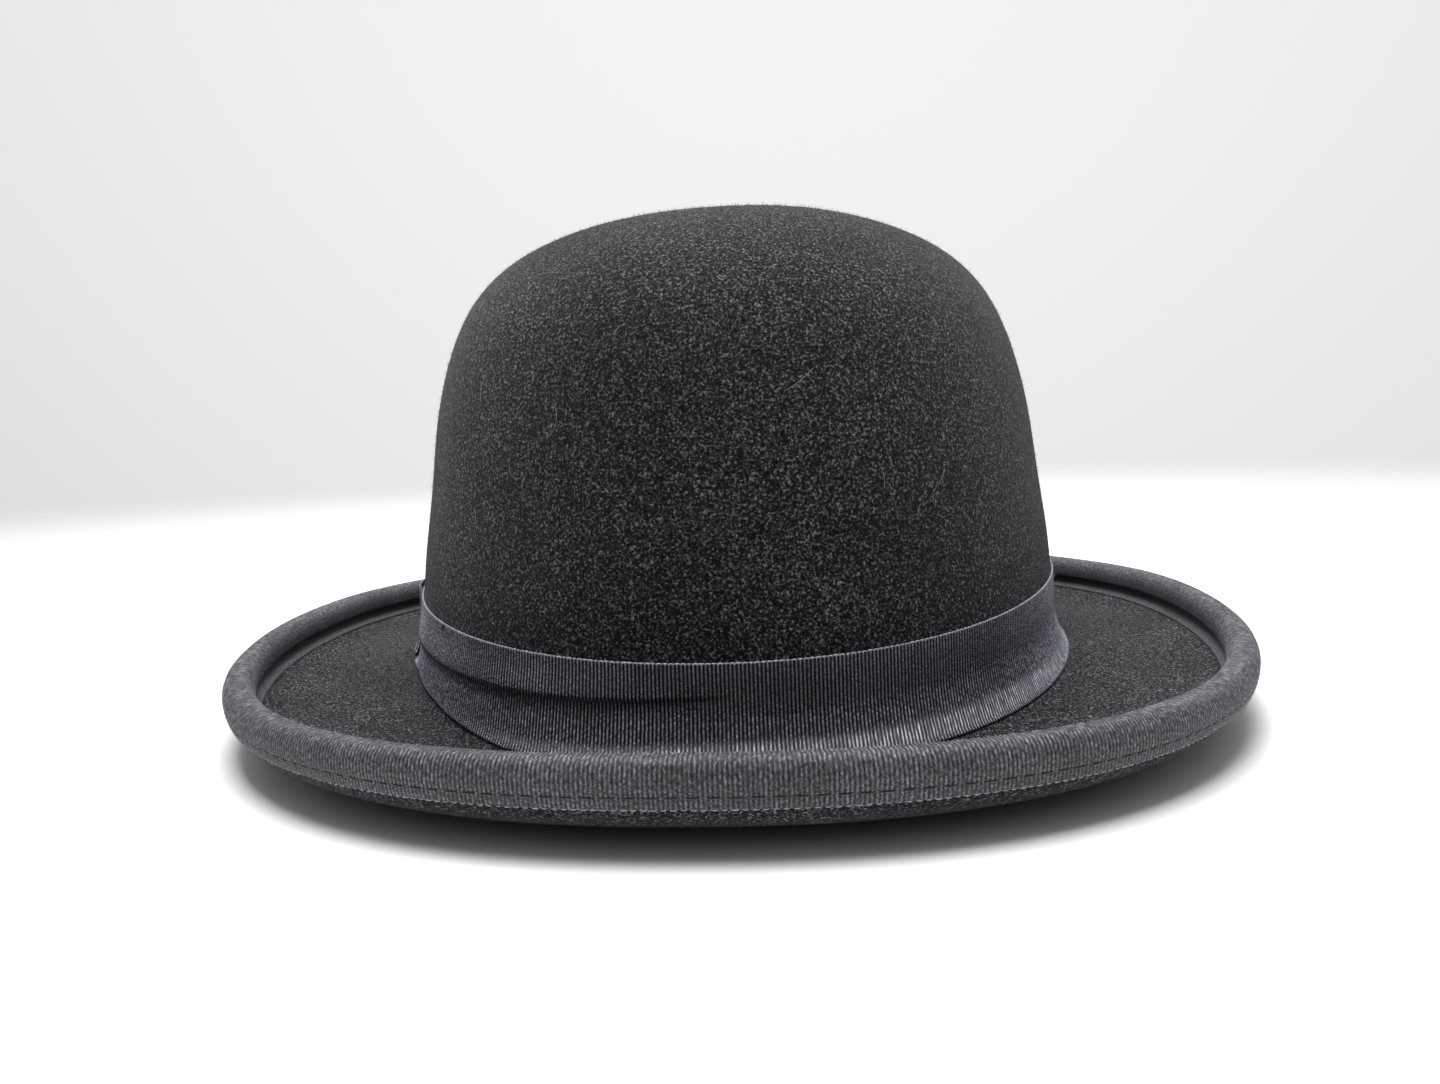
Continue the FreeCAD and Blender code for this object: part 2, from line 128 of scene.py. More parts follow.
def place(r, z, degrees):
    """Points in metres from section points (mm) and angles seen from above (degrees)."""
    r, z, degrees = np.broadcast_arrays(np.asarray(r, float), z, degrees)
    inner = r <= OVAL_R
    a = np.where(inner, OVAL_A * r / OVAL_R, OVAL_A + (r - OVAL_R) * BRIM_SIDEWAYS)
    b = np.where(inner, OVAL_B * r / OVAL_R, OVAL_B + (r - OVAL_R) * BRIM_LENGTHWISE)
    a = np.maximum(a, 1e-9)
    b = np.maximum(b, 1e-9)
    out = np.clip((r - OVAL_R) / (SADDLE_TO - OVAL_R), 0.0, 1.0)
    power = OVAL_POWER + (RIM_POWER - OVAL_POWER) * out
    c = np.cos(np.radians(degrees))
    s = np.sin(np.radians(degrees))
    rho = (np.abs(c / a) ** power + np.abs(s / b) ** power) ** (-1.0 / power)
    flare = smooth((r - SADDLE_FROM) / (SADDLE_TO - SADDLE_FROM))
    up = np.clip((z - BAND_TOP) / (TOTAL_HEIGHT - BAND_TOP), 0.0, 1.0)
    rise = SADDLE * (1.0 - (1.0 - SADDLE_LEFT) * flare) * (1.0 - up) ** 1.5
    rise = rise * np.abs(c) ** (2.0 + SADDLE_SHARPER * flare)
    roll = smooth((z - ROLL_RISE_FROM) / (ROLL_RISE_TO - ROLL_RISE_FROM)) * np.abs(s) ** 4
    rise = rise + np.where(r > ROLL_FROM_R, ROLL_RISE * roll, 0.0)
    return np.stack([rho * c, rho * s, z + rise], -1) * MM


class Section:
    """Smooth line through points (R, Z), walked by length, with an offset to its left."""

    def __init__(self, points, steps=1200):
        p = np.array(points, float)
        t = np.concatenate([[0.0], np.cumsum(np.hypot(*np.diff(p, axis=0).T))])
        n = len(t)
        h = np.diff(t)
        m = np.zeros((n, n))
        rhs = np.zeros((n, 2))
        m[0, 0] = m[-1, -1] = 1.0
        for i in range(1, n - 1):
            m[i, i - 1:i + 2] = h[i - 1], 2.0 * (h[i - 1] + h[i]), h[i]
            rhs[i] = 6.0 * ((p[i + 1] - p[i]) / h[i] - (p[i] - p[i - 1]) / h[i - 1])
        bend = np.linalg.solve(m, rhs)
        x = np.linspace(0.0, t[-1], steps)
        k = np.clip(np.searchsorted(t, x, side="right") - 1, 0, n - 2)
        w = (x - t[k])[:, None]
        v = (t[k + 1] - x)[:, None]
        hk = h[k][:, None]
        self.points = (bend[k] * v ** 3 + bend[k + 1] * w ** 3) / (6.0 * hk)
        self.points += (p[k] / hk - bend[k] * hk / 6.0) * v
        self.points += (p[k + 1] / hk - bend[k + 1] * hk / 6.0) * w
        step = np.hypot(*np.diff(self.points, axis=0).T)
        self.walk = np.concatenate([[0.0], np.cumsum(step)])
        self.length = float(self.walk[-1])
        d = np.gradient(self.points, self.walk, axis=0)
        self.way = d / np.hypot(*d.T)[:, None]

    def at(self, s, shift=0.0):
        """(R, Z) arrays at lengths s, moved to the left by shift."""
        s = np.asarray(s, float)
        r = np.interp(s, self.walk, self.points[:, 0])
        z = np.interp(s, self.walk, self.points[:, 1])
        dr = np.interp(s, self.walk, self.way[:, 0])
        dz = np.interp(s, self.walk, self.way[:, 1])
        return r - dz * shift, z + dr * shift

    def where(self, test):
        """First length at which a test on (R, Z) comes true."""
        found = np.nonzero(test(self.points[:, 0], self.points[:, 1]))[0]
        return float(self.walk[found[0]])


CROWN = Section(CROWN_POINTS)
BRIM = Section(BRIM_POINTS)
THIN_FROM = BRIM.where(lambda r, z: r > THIN_FROM_R)
BINDING_START = BRIM.where(lambda r, z: (r > ROLL_FROM_R) & (z > BINDING_LOW_Z))
BINDING_INNER = BRIM.where(lambda r, z: r > BINDING_INNER_R)


def felt_at(s):
    """Thickness of the felt at a length along BRIM."""
    return FELT - FELT_THINNER * smooth((np.asarray(s) - THIN_FROM) / (BRIM.length - THIN_FROM))


def band_lift(s):
    """Gap between hatband and felt: closed on the wall, open over the hollow below."""
    start = 0.45 * BAND_WIDTH
    share = np.clip((s - start) / (BAND_WIDTH - start), 0.0, 1.0)
    return CLEAR + BAND_LIFT * np.sin(np.pi * share)


def on_band(s, depth, degrees):
    """Points at a depth in front of the felt under the hatband."""
    r, z = BRIM.at(s, band_lift(s) + depth)
    return place(r, z, degrees)


# ---------------------------------------------------------------- mesh helpers

def only(obj):
    """Select one object and make it active."""
    bpy.ops.object.select_all(action="DESELECT")
    obj.select_set(True)
    bpy.context.view_layer.objects.active = obj


def quilt(name, points, around=False, across=False, ribs=(1.0, 1.0)):
    """A grid primitive laid over an array of points (rows, columns, 3).

    around and across say that the last column or row meets the first one.  ribs scales
    the UV map: U along the columns, V along the rows.
    """
    rows, columns = points.shape[0] - 1, points.shape[1] - 1
    bpy.ops.object.select_all(action="DESELECT")
    bpy.ops.mesh.primitive_grid_add(x_subdivisions=columns, y_subdivisions=rows, size=1.0)
    obj = bpy.context.object
    obj.name = name
    obj.data.name = name
    obj.data.vertices.foreach_set("co", points.reshape(-1).astype(np.float32))
    uv = obj.data.uv_layers.active.data
    flat = np.zeros(len(uv) * 2, np.float32)
    uv.foreach_get("uv", flat)
    flat = flat.reshape(-1, 2) * np.array(ribs, np.float32)
    uv.foreach_set("uv", flat.reshape(-1))
    obj.data.update()
    if around or across:
        weld(obj)
    smooth_shade(obj)
    return obj


def weld(obj, distance=2e-6):
    """Merge coinciding points."""
    only(obj)
    bpy.ops.object.mode_set(mode="EDIT")
    bpy.ops.mesh.select_all(action="SELECT")
    bpy.ops.mesh.remove_doubles(threshold=distance)
    bpy.ops.object.mode_set(mode="OBJECT")


def smooth_shade(obj):
    """Smooth shading all over."""
    only(obj)
    bpy.ops.object.shade_smooth()


def join(name, parts):
    """Join several objects into the first one."""
    bpy.ops.object.select_all(action="DESELECT")
    for part in parts:
        part.select_set(True)
    bpy.context.view_layer.objects.active = parts[0]
    bpy.ops.object.join()
    obj = bpy.context.object
    obj.name = name
    obj.data.name = name
    return obj


def loose(name, vertices, faces):
    """A mesh of many small like shapes, from arrays."""
    mesh = bpy.data.meshes.new(name)
    faces = np.asarray(faces)
    corners = faces.shape[1]
    mesh.vertices.add(len(vertices))
    mesh.vertices.foreach_set("co", np.asarray(vertices, np.float32).reshape(-1))
    mesh.loops.add(faces.size)
    mesh.loops.foreach_set("vertex_index", faces.reshape(-1).astype(np.int32))
    mesh.polygons.add(len(faces))
    mesh.polygons.foreach_set("loop_start", np.arange(0, faces.size, corners, dtype=np.int32))
    mesh.update(calc_edges=True)
    mesh.validate()
    obj = bpy.data.objects.new(name, mesh)
    bpy.context.scene.collection.objects.link(obj)
    smooth_shade(obj)
    return obj


def dress(obj, material, slot, *nodes):
    """Material, body and the CAD nodes the piece stands for; the slot argument is not used."""
    obj.data.materials.clear()
    obj.data.materials.append(material)
    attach(obj, "root")
    if nodes:
        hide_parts(*nodes)
    return obj


def cap_ends(obj, sides):
    """Close the open ends of small tubes and turn every face outwards."""
    only(obj)
    bpy.ops.object.mode_set(mode="EDIT")
    bpy.ops.mesh.select_all(action="DESELECT")
    bpy.ops.mesh.select_non_manifold()
    bpy.ops.mesh.fill_holes(sides=sides)
    bpy.ops.mesh.select_all(action="SELECT")
    bpy.ops.mesh.normals_make_consistent(inside=False)
    bpy.ops.object.mode_set(mode="OBJECT")


def tubes(name, lines, radius, sides=5, taper=0.35):
    """Round threads along several lines of the same number of points."""
    lines = np.asarray(lines, float)
    count, steps, _ = lines.shape
    way = np.gradient(lines, axis=1)
    way /= np.linalg.norm(way, axis=2, keepdims=True) + 1e-12
    side = np.cross(way, [0.0, 0.0, 1.0])
    weak = np.linalg.norm(side, axis=2, keepdims=True) < 1e-3
    side = np.where(weak, np.cross(way, [1.0, 0.0, 0.0]), side)
    side /= np.linalg.norm(side, axis=2, keepdims=True)
    up = np.cross(side, way)
    t = TURN * np.arange(sides) / sides
    thick = np.interp(np.linspace(0, 1, steps), [0.0, 0.12, 0.88, 1.0], [taper, 1.0, 1.0, taper])
    ring = (side[:, :, None] * np.cos(t)[None, None, :, None]
            + up[:, :, None] * np.sin(t)[None, None, :, None])
    ring = ring * (radius * thick)[None, :, None, None] + lines[:, :, None]
    vertices = ring.reshape(-1, 3)
    i, j, k = np.meshgrid(np.arange(count), np.arange(steps - 1), np.arange(sides), indexing="ij")
    start = i * steps * sides + j * sides
    quad = np.stack([start + k, start + (k + 1) % sides,
                     start + sides + (k + 1) % sides, start + sides + k], -1).reshape(-1, 4)
    obj = loose(name, vertices, quad[:, ::-1])
    cap_ends(obj, sides)
    return obj


# ------------------------------------------------------------ material helpers

class Finish:
    """A material with its shader, and short ways to add nodes."""

    def __init__(self, name, rough=0.8, **shader):
        self.material = bpy.data.materials.new(name)
        self.material.use_nodes = True
        self.tree = self.material.node_tree
        self.shader = self.tree.nodes["Principled BSDF"]
        self.shader.inputs["Roughness"].default_value = rough
        for key, value in shader.items():
            self.shader.inputs[key.replace("_", " ")].default_value = value

    def add(self, kind, inputs=None, **settings):
        """New node; inputs are values or sockets to link."""
        node = self.tree.nodes.new(kind)
        for key, value in settings.items():
            setattr(node, key, value)
        for key, value in (inputs or {}).items():
            if isinstance(value, bpy.types.NodeSocket):
                self.tree.links.new(value, node.inputs[key])
            else:
                node.inputs[key].default_value = value
        return node

    def place(self, kind="Object"):
        """Object or UV coordinates."""
        return self.add("ShaderNodeTexCoord").outputs[kind]

    def scaled(self, vector, scale):
        """Coordinates stretched along each axis."""
        return self.add("ShaderNodeMapping", {"Vector": vector, "Scale": scale}).outputs["Vector"]

    def noise(self, vector, scale, detail=2.0, rough=0.5):
        """Noise value."""
        return self.add("ShaderNodeTexNoise", {"Vector": vector, "Scale": scale, "Detail": detail,
                                               "Roughness": rough}).outputs["Fac"]

    def math(self, kind, a, b=0.0, c=0.0):
        """One calculation."""
        return self.add("ShaderNodeMath", {0: a, 1: b, 2: c}, operation=kind).outputs[0]

    def ramp(self, value, stops):
        """Value to colour through stops of (place, brightness or colour)."""
        node = self.add("ShaderNodeValToRGB", {"Fac": value})
        ramp = node.color_ramp
        while len(ramp.elements) < len(stops):
            ramp.elements.new(0.5)
        for element, (at, colour) in zip(ramp.elements, stops):
            element.position = at
            rgb = (colour,) * 3 if isinstance(colour, float) else tuple(colour)
            element.color = rgb[:3] + (1.0,)
        return node.outputs["Color"]

    def blend(self, share, a, b, kind="MIX"):
        """Mix of two colours."""
        node = self.add("ShaderNodeMix", data_type="RGBA", blend_type=kind)
        for key, value in ((0, share), (6, a), (7, b)):
            if isinstance(value, bpy.types.NodeSocket):
                self.tree.links.new(value, node.inputs[key])
            elif key:
                node.inputs[key].default_value = tuple(value) + (1.0,)
            else:
                node.inputs[key].default_value = value
        return node.outputs[2]

    def bump(self, height, depth, strength=1.0, under=None):
        """Bump from a height."""
        inputs = {"Height": height, "Distance": depth, "Strength": strength}
        if under is not None:
            inputs["Normal"] = under
        return self.add("ShaderNodeBump", inputs).outputs["Normal"]

    def finish(self, colour=None, rough=None, normal=None):
        """Link the shader."""
        for key, value in (("Base Color", colour), ("Roughness", rough), ("Normal", normal)):
            if value is not None:
                self.tree.links.new(value, self.shader.inputs[key])
        return self.material


def felt_finish(look):
    """Wool felt: speckled short fibres, clumps, faint dust and a soft sheen."""
    f = Finish("black_felt", 0.95, Specular_IOR_Level=0.12, Sheen_Weight=look.sheen,
               Sheen_Roughness=0.45, Sheen_Tint=(0.75, 0.78, 0.85, 1.0))
    at = f.place()
    fibres = f.noise(at, 1800.0, 4.0, 0.75)
    clumps = f.noise(at, 520.0, 2.0, 0.6)
    patches = f.noise(at, 28.0, 3.0, 0.6)
    c = look.colour
    speckle = f.ramp(fibres, [(0.43, [0.02 * v for v in c]), (0.50, [0.4 * v for v in c]),
                              (0.57, [2.6 * v for v in c]), (0.65, [11.0 * v for v in c])])
    worn = f.ramp(patches, [(0.35, 0.82), (0.7, 1.28)])
    clumped = f.ramp(clumps, [(0.3, 0.70), (0.7, 1.25)])
    colour = f.blend(1.0, f.blend(1.0, speckle, worn, "MULTIPLY"), clumped, "MULTIPLY")
    deep = f.bump(clumps, 0.0002, 0.6)
    fine = f.bump(fibres, 0.0004, 0.8, deep)
    rough = f.ramp(fibres, [(0.3, 0.98), (0.8, 0.78)])
    return f.finish(colour, rough, fine)


def nap_finish(name, colour, pale):
    """Loose fibre ends standing on felt or ribbon."""
    f = Finish(name, 0.75, Specular_IOR_Level=0.3)
    tone = f.noise(f.place(), 900.0, 1.0)
    return f.finish(f.ramp(tone, [(0.38, [0.8 * pale * v for v in colour]),
                                  (0.52, [2.5 * pale * v for v in colour]),
                                  (0.66, [9.0 * pale * v for v in colour])]))


def grosgrain_finish(name, colour, crest_highlight, valley_shade, sheen, keen=1.0, gleam=0.4):
    """Ribbed ribbon with painted light: crests coloured lighter as a painted highlight, valleys darker as
    painted shade, and noise glints painted along the ribs.  U counts ribs and V is in millimetres.
    """
    f = Finish(name, 0.55, Specular_IOR_Level=gleam, Sheen_Weight=sheen, Sheen_Roughness=0.35,
               Sheen_Tint=(0.8, 0.83, 0.92, 1.0))
    uv = f.place("UV")
    parts = f.add("ShaderNodeSeparateXYZ", {"Vector": uv})
    u, v = parts.outputs["X"], parts.outputs["Y"]
    wave = f.math("COSINE", f.math("MULTIPLY", u, TURN))
    rib = f.math("POWER", f.math("MULTIPLY_ADD", wave, 0.5, 0.5), keen)
    odd = f.math("MULTIPLY", f.math("ROUND", u), 0.5)
    thread = f.math("SINE", f.math("MULTIPLY", f.math("ADD", v, odd), TURN))
    thread = f.math("MULTIPLY_ADD", thread, 0.5, 0.5)
    glints = f.noise(f.scaled(uv, (1.5, 1.1, 1.0)), 1.0, 3.0, 0.8)
    drift = f.noise(f.place(), 60.0, 3.0, 0.6)
    # Painted light: rib crests are coloured lighter as a painted highlight and the valleys darker as
    # painted shade.
    base = f.blend(rib, [valley_shade * k for k in colour], [crest_highlight * k for k in colour])
    # Painted highlight: noise glints brighten the colour in spots along the ribs.
    painted_glints = f.ramp(glints, [(0.36, 0.25), (0.50, 0.9), (0.66, 2.8)])
    worn = f.ramp(drift, [(0.3, 0.80), (0.7, 1.25)])
    colour_out = f.blend(1.0, f.blend(1.0, base, painted_glints, "MULTIPLY"), worn, "MULTIPLY")
    rows = f.bump(thread, 0.00006, 0.7)
    ribs = f.bump(rib, 0.00008, 0.6, rows)
    rough = f.ramp(glints, [(0.3, 0.75), (0.8, 0.42)])
    return f.finish(colour_out, rough, f.bump(glints, 0.00012, 0.6, ribs))


def band_finish(name, look):
    """Ribbon of the hatband and its bow: narrow crests painted light as a highlight over valleys painted
    dark as shade.
    """
    return grosgrain_finish(name, look.band_colour, 10.0, 0.02, 0.08, 2.2)


def thread_finish(name, tone):
    """Twisted sewing thread."""
    f = Finish(name, 0.6, Specular_IOR_Level=0.4, Sheen_Weight=0.3)
    at = f.place()
    twist = f.noise(f.scaled(at, (1.0, 1.0, 1.6)), 2600.0, 2.0)
    colour = f.ramp(twist, [(0.3, [0.5 * v for v in tone]), (0.7, [1.5 * v for v in tone])])
    return f.finish(colour, None, f.bump(twist, 0.0001, 0.6))


def leather_finish(look):
    """Smooth sweatband leather with pores, darker where it was handled."""
    f = Finish("sweatband_leather", 0.45, Specular_IOR_Level=0.45, Coat_Weight=0.08, Coat_Roughness=0.3)
    at = f.place()
    pores = f.add("ShaderNodeTexVoronoi", {"Vector": at, "Scale": 1500.0},
                  feature="DISTANCE_TO_EDGE").outputs["Distance"]
    grain = f.noise(at, 420.0, 4.0, 0.6)
    stain = f.noise(at, 22.0, 3.0, 0.6)
    c = look.leather
    colour = f.ramp(stain, [(0.3, [0.6 * v for v in c]), (0.55, list(c)), (0.8, [1.45 * v for v in c])])
    colour = f.blend(0.35, colour, f.ramp(grain, [(0.3, 0.35), (0.7, 1.0)]), "MULTIPLY")
    normal = f.bump(grain, 0.0003, 0.35, f.bump(pores, 0.0004, 0.25))
    return f.finish(colour, f.ramp(stain, [(0.3, 0.38), (0.7, 0.58)]), normal)


def satin_finish(look):
    """Satin lining: glossy floats along the weave, slightly marked."""
    f = Finish("lining_satin", 0.34, Specular_IOR_Level=0.6, Sheen_Weight=0.25, Sheen_Roughness=0.3,
               Anisotropic=0.6)
    uv = f.place("UV")
    floats = f.noise(f.scaled(uv, (6.0, 0.5, 1.0)), 3.0, 2.0)
    marks = f.noise(f.place(), 35.0, 3.0)
    c = look.satin
    colour = f.ramp(floats, [(0.3, [0.6 * v for v in c]), (0.7, [1.35 * v for v in c])])
    colour = f.blend(0.5, colour, f.ramp(marks, [(0.3, 0.7), (0.7, 1.2)]), "MULTIPLY")
    return f.finish(colour, f.ramp(marks, [(0.3, 0.28), (0.7, 0.42)]), f.bump(floats, 0.00008, 0.5))


def tape_finish():
    """Plain woven tape."""
    f = Finish("woven_tape", 0.8, Sheen_Weight=0.3)
    at = f.place()
    weave = f.add("ShaderNodeTexChecker", {"Vector": at, "Scale": 2600.0}).outputs["Fac"]
    drift = f.noise(at, 500.0, 3.0)
    colour = f.ramp(drift, [(0.3, [0.02, 0.02, 0.023]), (0.7, [0.055, 0.055, 0.06])])
    return f.finish(colour, None, f.bump(weave, 0.0001, 0.5))


def reed_finish():
    """Natural flexible reed with fine lengthwise streaks."""
    f = Finish("pale_reed", 0.5, Specular_IOR_Level=0.4)
    streak = f.noise(f.scaled(f.place(), (1.0, 1.0, 8.0)), 500.0, 3.0)
    return f.finish(f.ramp(streak, [(0.3, [0.36, 0.28, 0.16]), (0.7, [0.58, 0.48, 0.3])]), None,
                    f.bump(streak, 0.0001, 0.4))


def ticket_finish():
    """Blank cream paper with fibres."""
    f = Finish("blank_ticket", 0.85)
    fibre = f.noise(f.place(), 1400.0, 4.0, 0.7)
    return f.finish(f.ramp(fibre, [(0.3, [0.62, 0.58, 0.48]), (0.7, [0.80, 0.77, 0.68])]), None,
                    f.bump(fibre, 0.00008, 0.4))


# -------------------------------------------------------------- user settings

class FeltLook(bpy.types.PropertyGroup):
    """Colour and nap of the felt shell."""
    colour: bpy.props.FloatVectorProperty(
        name="Felt colour", description="Colour between the fibres", subtype="COLOR",
        size=3, default=(0.0225, 0.0230, 0.0246), min=0.0, max=1.0)
    sheen: bpy.props.FloatProperty(
        name="Sheen", description="Soft light on fibres seen edge-on", default=0.10, min=0.0, max=1.0)
    fibres: bpy.props.IntProperty(
        name="Fibres", description="Loose fibre ends on crown and brim", default=90000, min=0, max=180000)
    fuzz: bpy.props.IntProperty(
        name="Ribbon fuzz", description="Fine fibre ends on the ribbons", default=50000, min=0, max=120000)
    fibre_length: bpy.props.FloatProperty(
        name="Fibre length", description="Longest loose fibre", default=1.1 * MM,
        unit="LENGTH", precision=5)
    dents: bpy.props.FloatProperty(
        name="Unevenness", description="Height of the felt's slow waves", default=0.3 * MM,
        unit="LENGTH", precision=5)


class RibbonLook(bpy.types.PropertyGroup):
    """Ribs and colours of the grosgrain trims."""
    pitch: bpy.props.FloatProperty(
        name="Rib pitch", description="Distance between ribs", default=0.8 * MM,
        unit="LENGTH", precision=5)
    band_relief: bpy.props.FloatProperty(
        name="Hatband relief", description="Rib height on hatband and bow", default=0.30 * MM,
        unit="LENGTH", precision=5)
    binding_relief: bpy.props.FloatProperty(
        name="Binding relief", description="Rib height on the brim binding", default=0.13 * MM,
        unit="LENGTH", precision=5)
    band_colour: bpy.props.FloatVectorProperty(
        name="Hatband colour", description="Ribbon of hatband and bow", subtype="COLOR", size=3,
        default=(0.030, 0.031, 0.036), min=0.0, max=1.0)
    binding_colour: bpy.props.FloatVectorProperty(
        name="Binding colour", description="Ribbon on the brim's edge", subtype="COLOR", size=3,
        default=(0.050, 0.051, 0.057), min=0.0, max=1.0)
    crease: bpy.props.FloatProperty(
        name="Crease bulge", description="How far the ribbon bulges above its crease",
        default=1.3 * MM, unit="LENGTH", precision=5)


class InsideLook(bpy.types.PropertyGroup):
    """Leather and satin inside the crown."""
    leather: bpy.props.FloatVectorProperty(
        name="Leather", description="Sweatband colour", subtype="COLOR", size=3,
        default=(0.105, 0.062, 0.036), min=0.0, max=1.0)
    satin: bpy.props.FloatVectorProperty(
        name="Satin", description="Lining colour", subtype="COLOR", size=3,
        default=(0.050, 0.050, 0.058), min=0.0, max=1.0)


class StageLook(bpy.types.PropertyGroup):
    """Floor, light and camera."""
    floor_colour: bpy.props.FloatVectorProperty(
        name="Floor", description="Pale floor", subtype="COLOR", size=3,
        default=(0.86, 0.86, 0.86), min=0.0, max=1.0)
    sky: bpy.props.FloatProperty(
        name="Room light", description="Strength of the all-round light", default=1.0, min=0.0)
    window: bpy.props.FloatProperty(
        name="Window", description="Power of the soft light above", default=24.0, min=0.0, unit="POWER")
    lens: bpy.props.FloatProperty(
        name="Lens", description="Focal length on a 36 mm wide picture", default=26.25, unit="CAMERA")
    distance: bpy.props.FloatProperty(
        name="Distance", description="Camera to the hat's middle", default=306.5 * MM, unit="LENGTH")
    pitch: bpy.props.FloatProperty(
        name="Look down", description="Downward tilt", default=0.11689, subtype="ANGLE")
    roll: bpy.props.FloatProperty(
        name="Lean", description="Roll of the picture", default=0.03813, subtype="ANGLE")
    yaw: bpy.props.FloatProperty(
        name="Turn", description="Turn of the hat before the camera", default=-0.07361, subtype="ANGLE")


# ------------------------------------------------------------------ operators

RNG_SEED = 57            # seed of every random draw


def uneven(points, height):
    """Slow waves of the felt above the hatband, outwards from the middle axis."""
    x, y, z = (points[..., i] / MM for i in range(3))
    push = (np.sin(0.061 * x + 0.043 * z + 1.1) + np.sin(0.052 * y - 0.071 * z + 0.4)
            + 0.6 * np.sin(0.117 * x - 0.093 * y + 2.0) + 0.5 * np.sin(0.151 * z + 0.083 * y))
    push = push / 3.1 * height * np.clip((z - 30.0) / 12.0, 0.0, 1.0)
    out = points * np.array([1.0, 1.0, 0.4])
    out = out / (np.linalg.norm(out, axis=-1, keepdims=True) + 1e-6)
    return points + out * push[..., None]


def felt_path():
    """Closed walk round the felt's section, from the inner tip to the outer tip."""
    inner = CROWN.at(np.linspace(CROWN.length, 0.0, 46), FELT)
    roll = BRIM.where(lambda r, z: r > ROLL_FROM_R)
    walk = np.concatenate([np.linspace(0.0, roll, 52), np.linspace(roll, BRIM.length, 44)[1:]])
    under = BRIM.at(walk[1:], -felt_at(walk[1:]))
    half = 0.5 * float(felt_at(BRIM.length))
    middle = np.array(BRIM.at(BRIM.length, -half))
    way = BRIM.way[-1]
    left = np.array([-way[1], way[0]])
    turn = np.linspace(0.0, math.pi, 6)[1:-1]
    edge = np.array([middle - left * half * math.cos(t) + way * 0.3 * math.sin(t) for t in turn])
    top = BRIM.at(walk[::-1])
    outer = CROWN.at(np.linspace(0.0, CROWN.length, 76)[1:])
    r = np.concatenate([inner[0], under[0], edge[:, 0], top[0], outer[0]])
    z = np.concatenate([inner[1], under[1], edge[:, 1], top[1], outer[1]])
    r[0] = 0.0
    r[-1] = 0.0
    return np.maximum(r, 0.0), z


class HAT_OT_felt(bpy.types.Operator):
    """Crown and brim, one felt shell rolled over at the rim."""
    bl_idname = "hat.felt"
    bl_label = "Felt shell"

    def execute(self, context):
        look = context.scene.hat_felt
        r, z = felt_path()
        degrees = np.linspace(0.0, 360.0, 321)
        points = uneven(place(r[:, None], z[:, None], degrees[None, :]), look.dents)
        points[..., 2] = np.maximum(points[..., 2], 0.0)
        obj = quilt("felt_shell", points, True, False)
        dress(obj, felt_finish(look), "felt", "felt_body")
        return {"FINISHED"}


def fibres(name, root, out, longest, widest, rng):
    """Loose fibre ends as slim single triangles, most of them lying nearly flat."""
    count = len(root)
    side = np.cross(out, rng.normal(size=(count, 3)))
    side /= np.linalg.norm(side, axis=1, keepdims=True)
    lean = rng.uniform(0.15, 0.75, (count, 1)) ** 1.4
    lean[rng.random(count) < 0.08] = 0.95
    way = side * (1.0 - lean) + out * lean
    way /= np.linalg.norm(way, axis=1, keepdims=True)
    across = np.cross(way, out)
    across /= np.linalg.norm(across, axis=1, keepdims=True) + 1e-12
    length = longest * rng.uniform(0.35, 1.0, (count, 1))
    wide = widest * rng.uniform(0.45, 1.0, (count, 1))
    corners = np.stack([root - across * wide, root + across * wide, root + way * length], 1)
    corners[..., 2] = np.maximum(corners[..., 2], 0.0)
    return loose(name, corners.reshape(-1, 3), np.arange(count * 3).reshape(-1, 3))


def surface(section, s, shift, degrees):
    """Points at a shift from a section line, and the way out from it."""
    step = -1.0 if section is CROWN or np.all(shift < 0.0) else 1.0
    near = place(*section.at(s, shift), degrees)
    out = place(*section.at(s, shift + step), degrees) - near
    return near, out / (np.linalg.norm(out, axis=1, keepdims=True) + 1e-12)


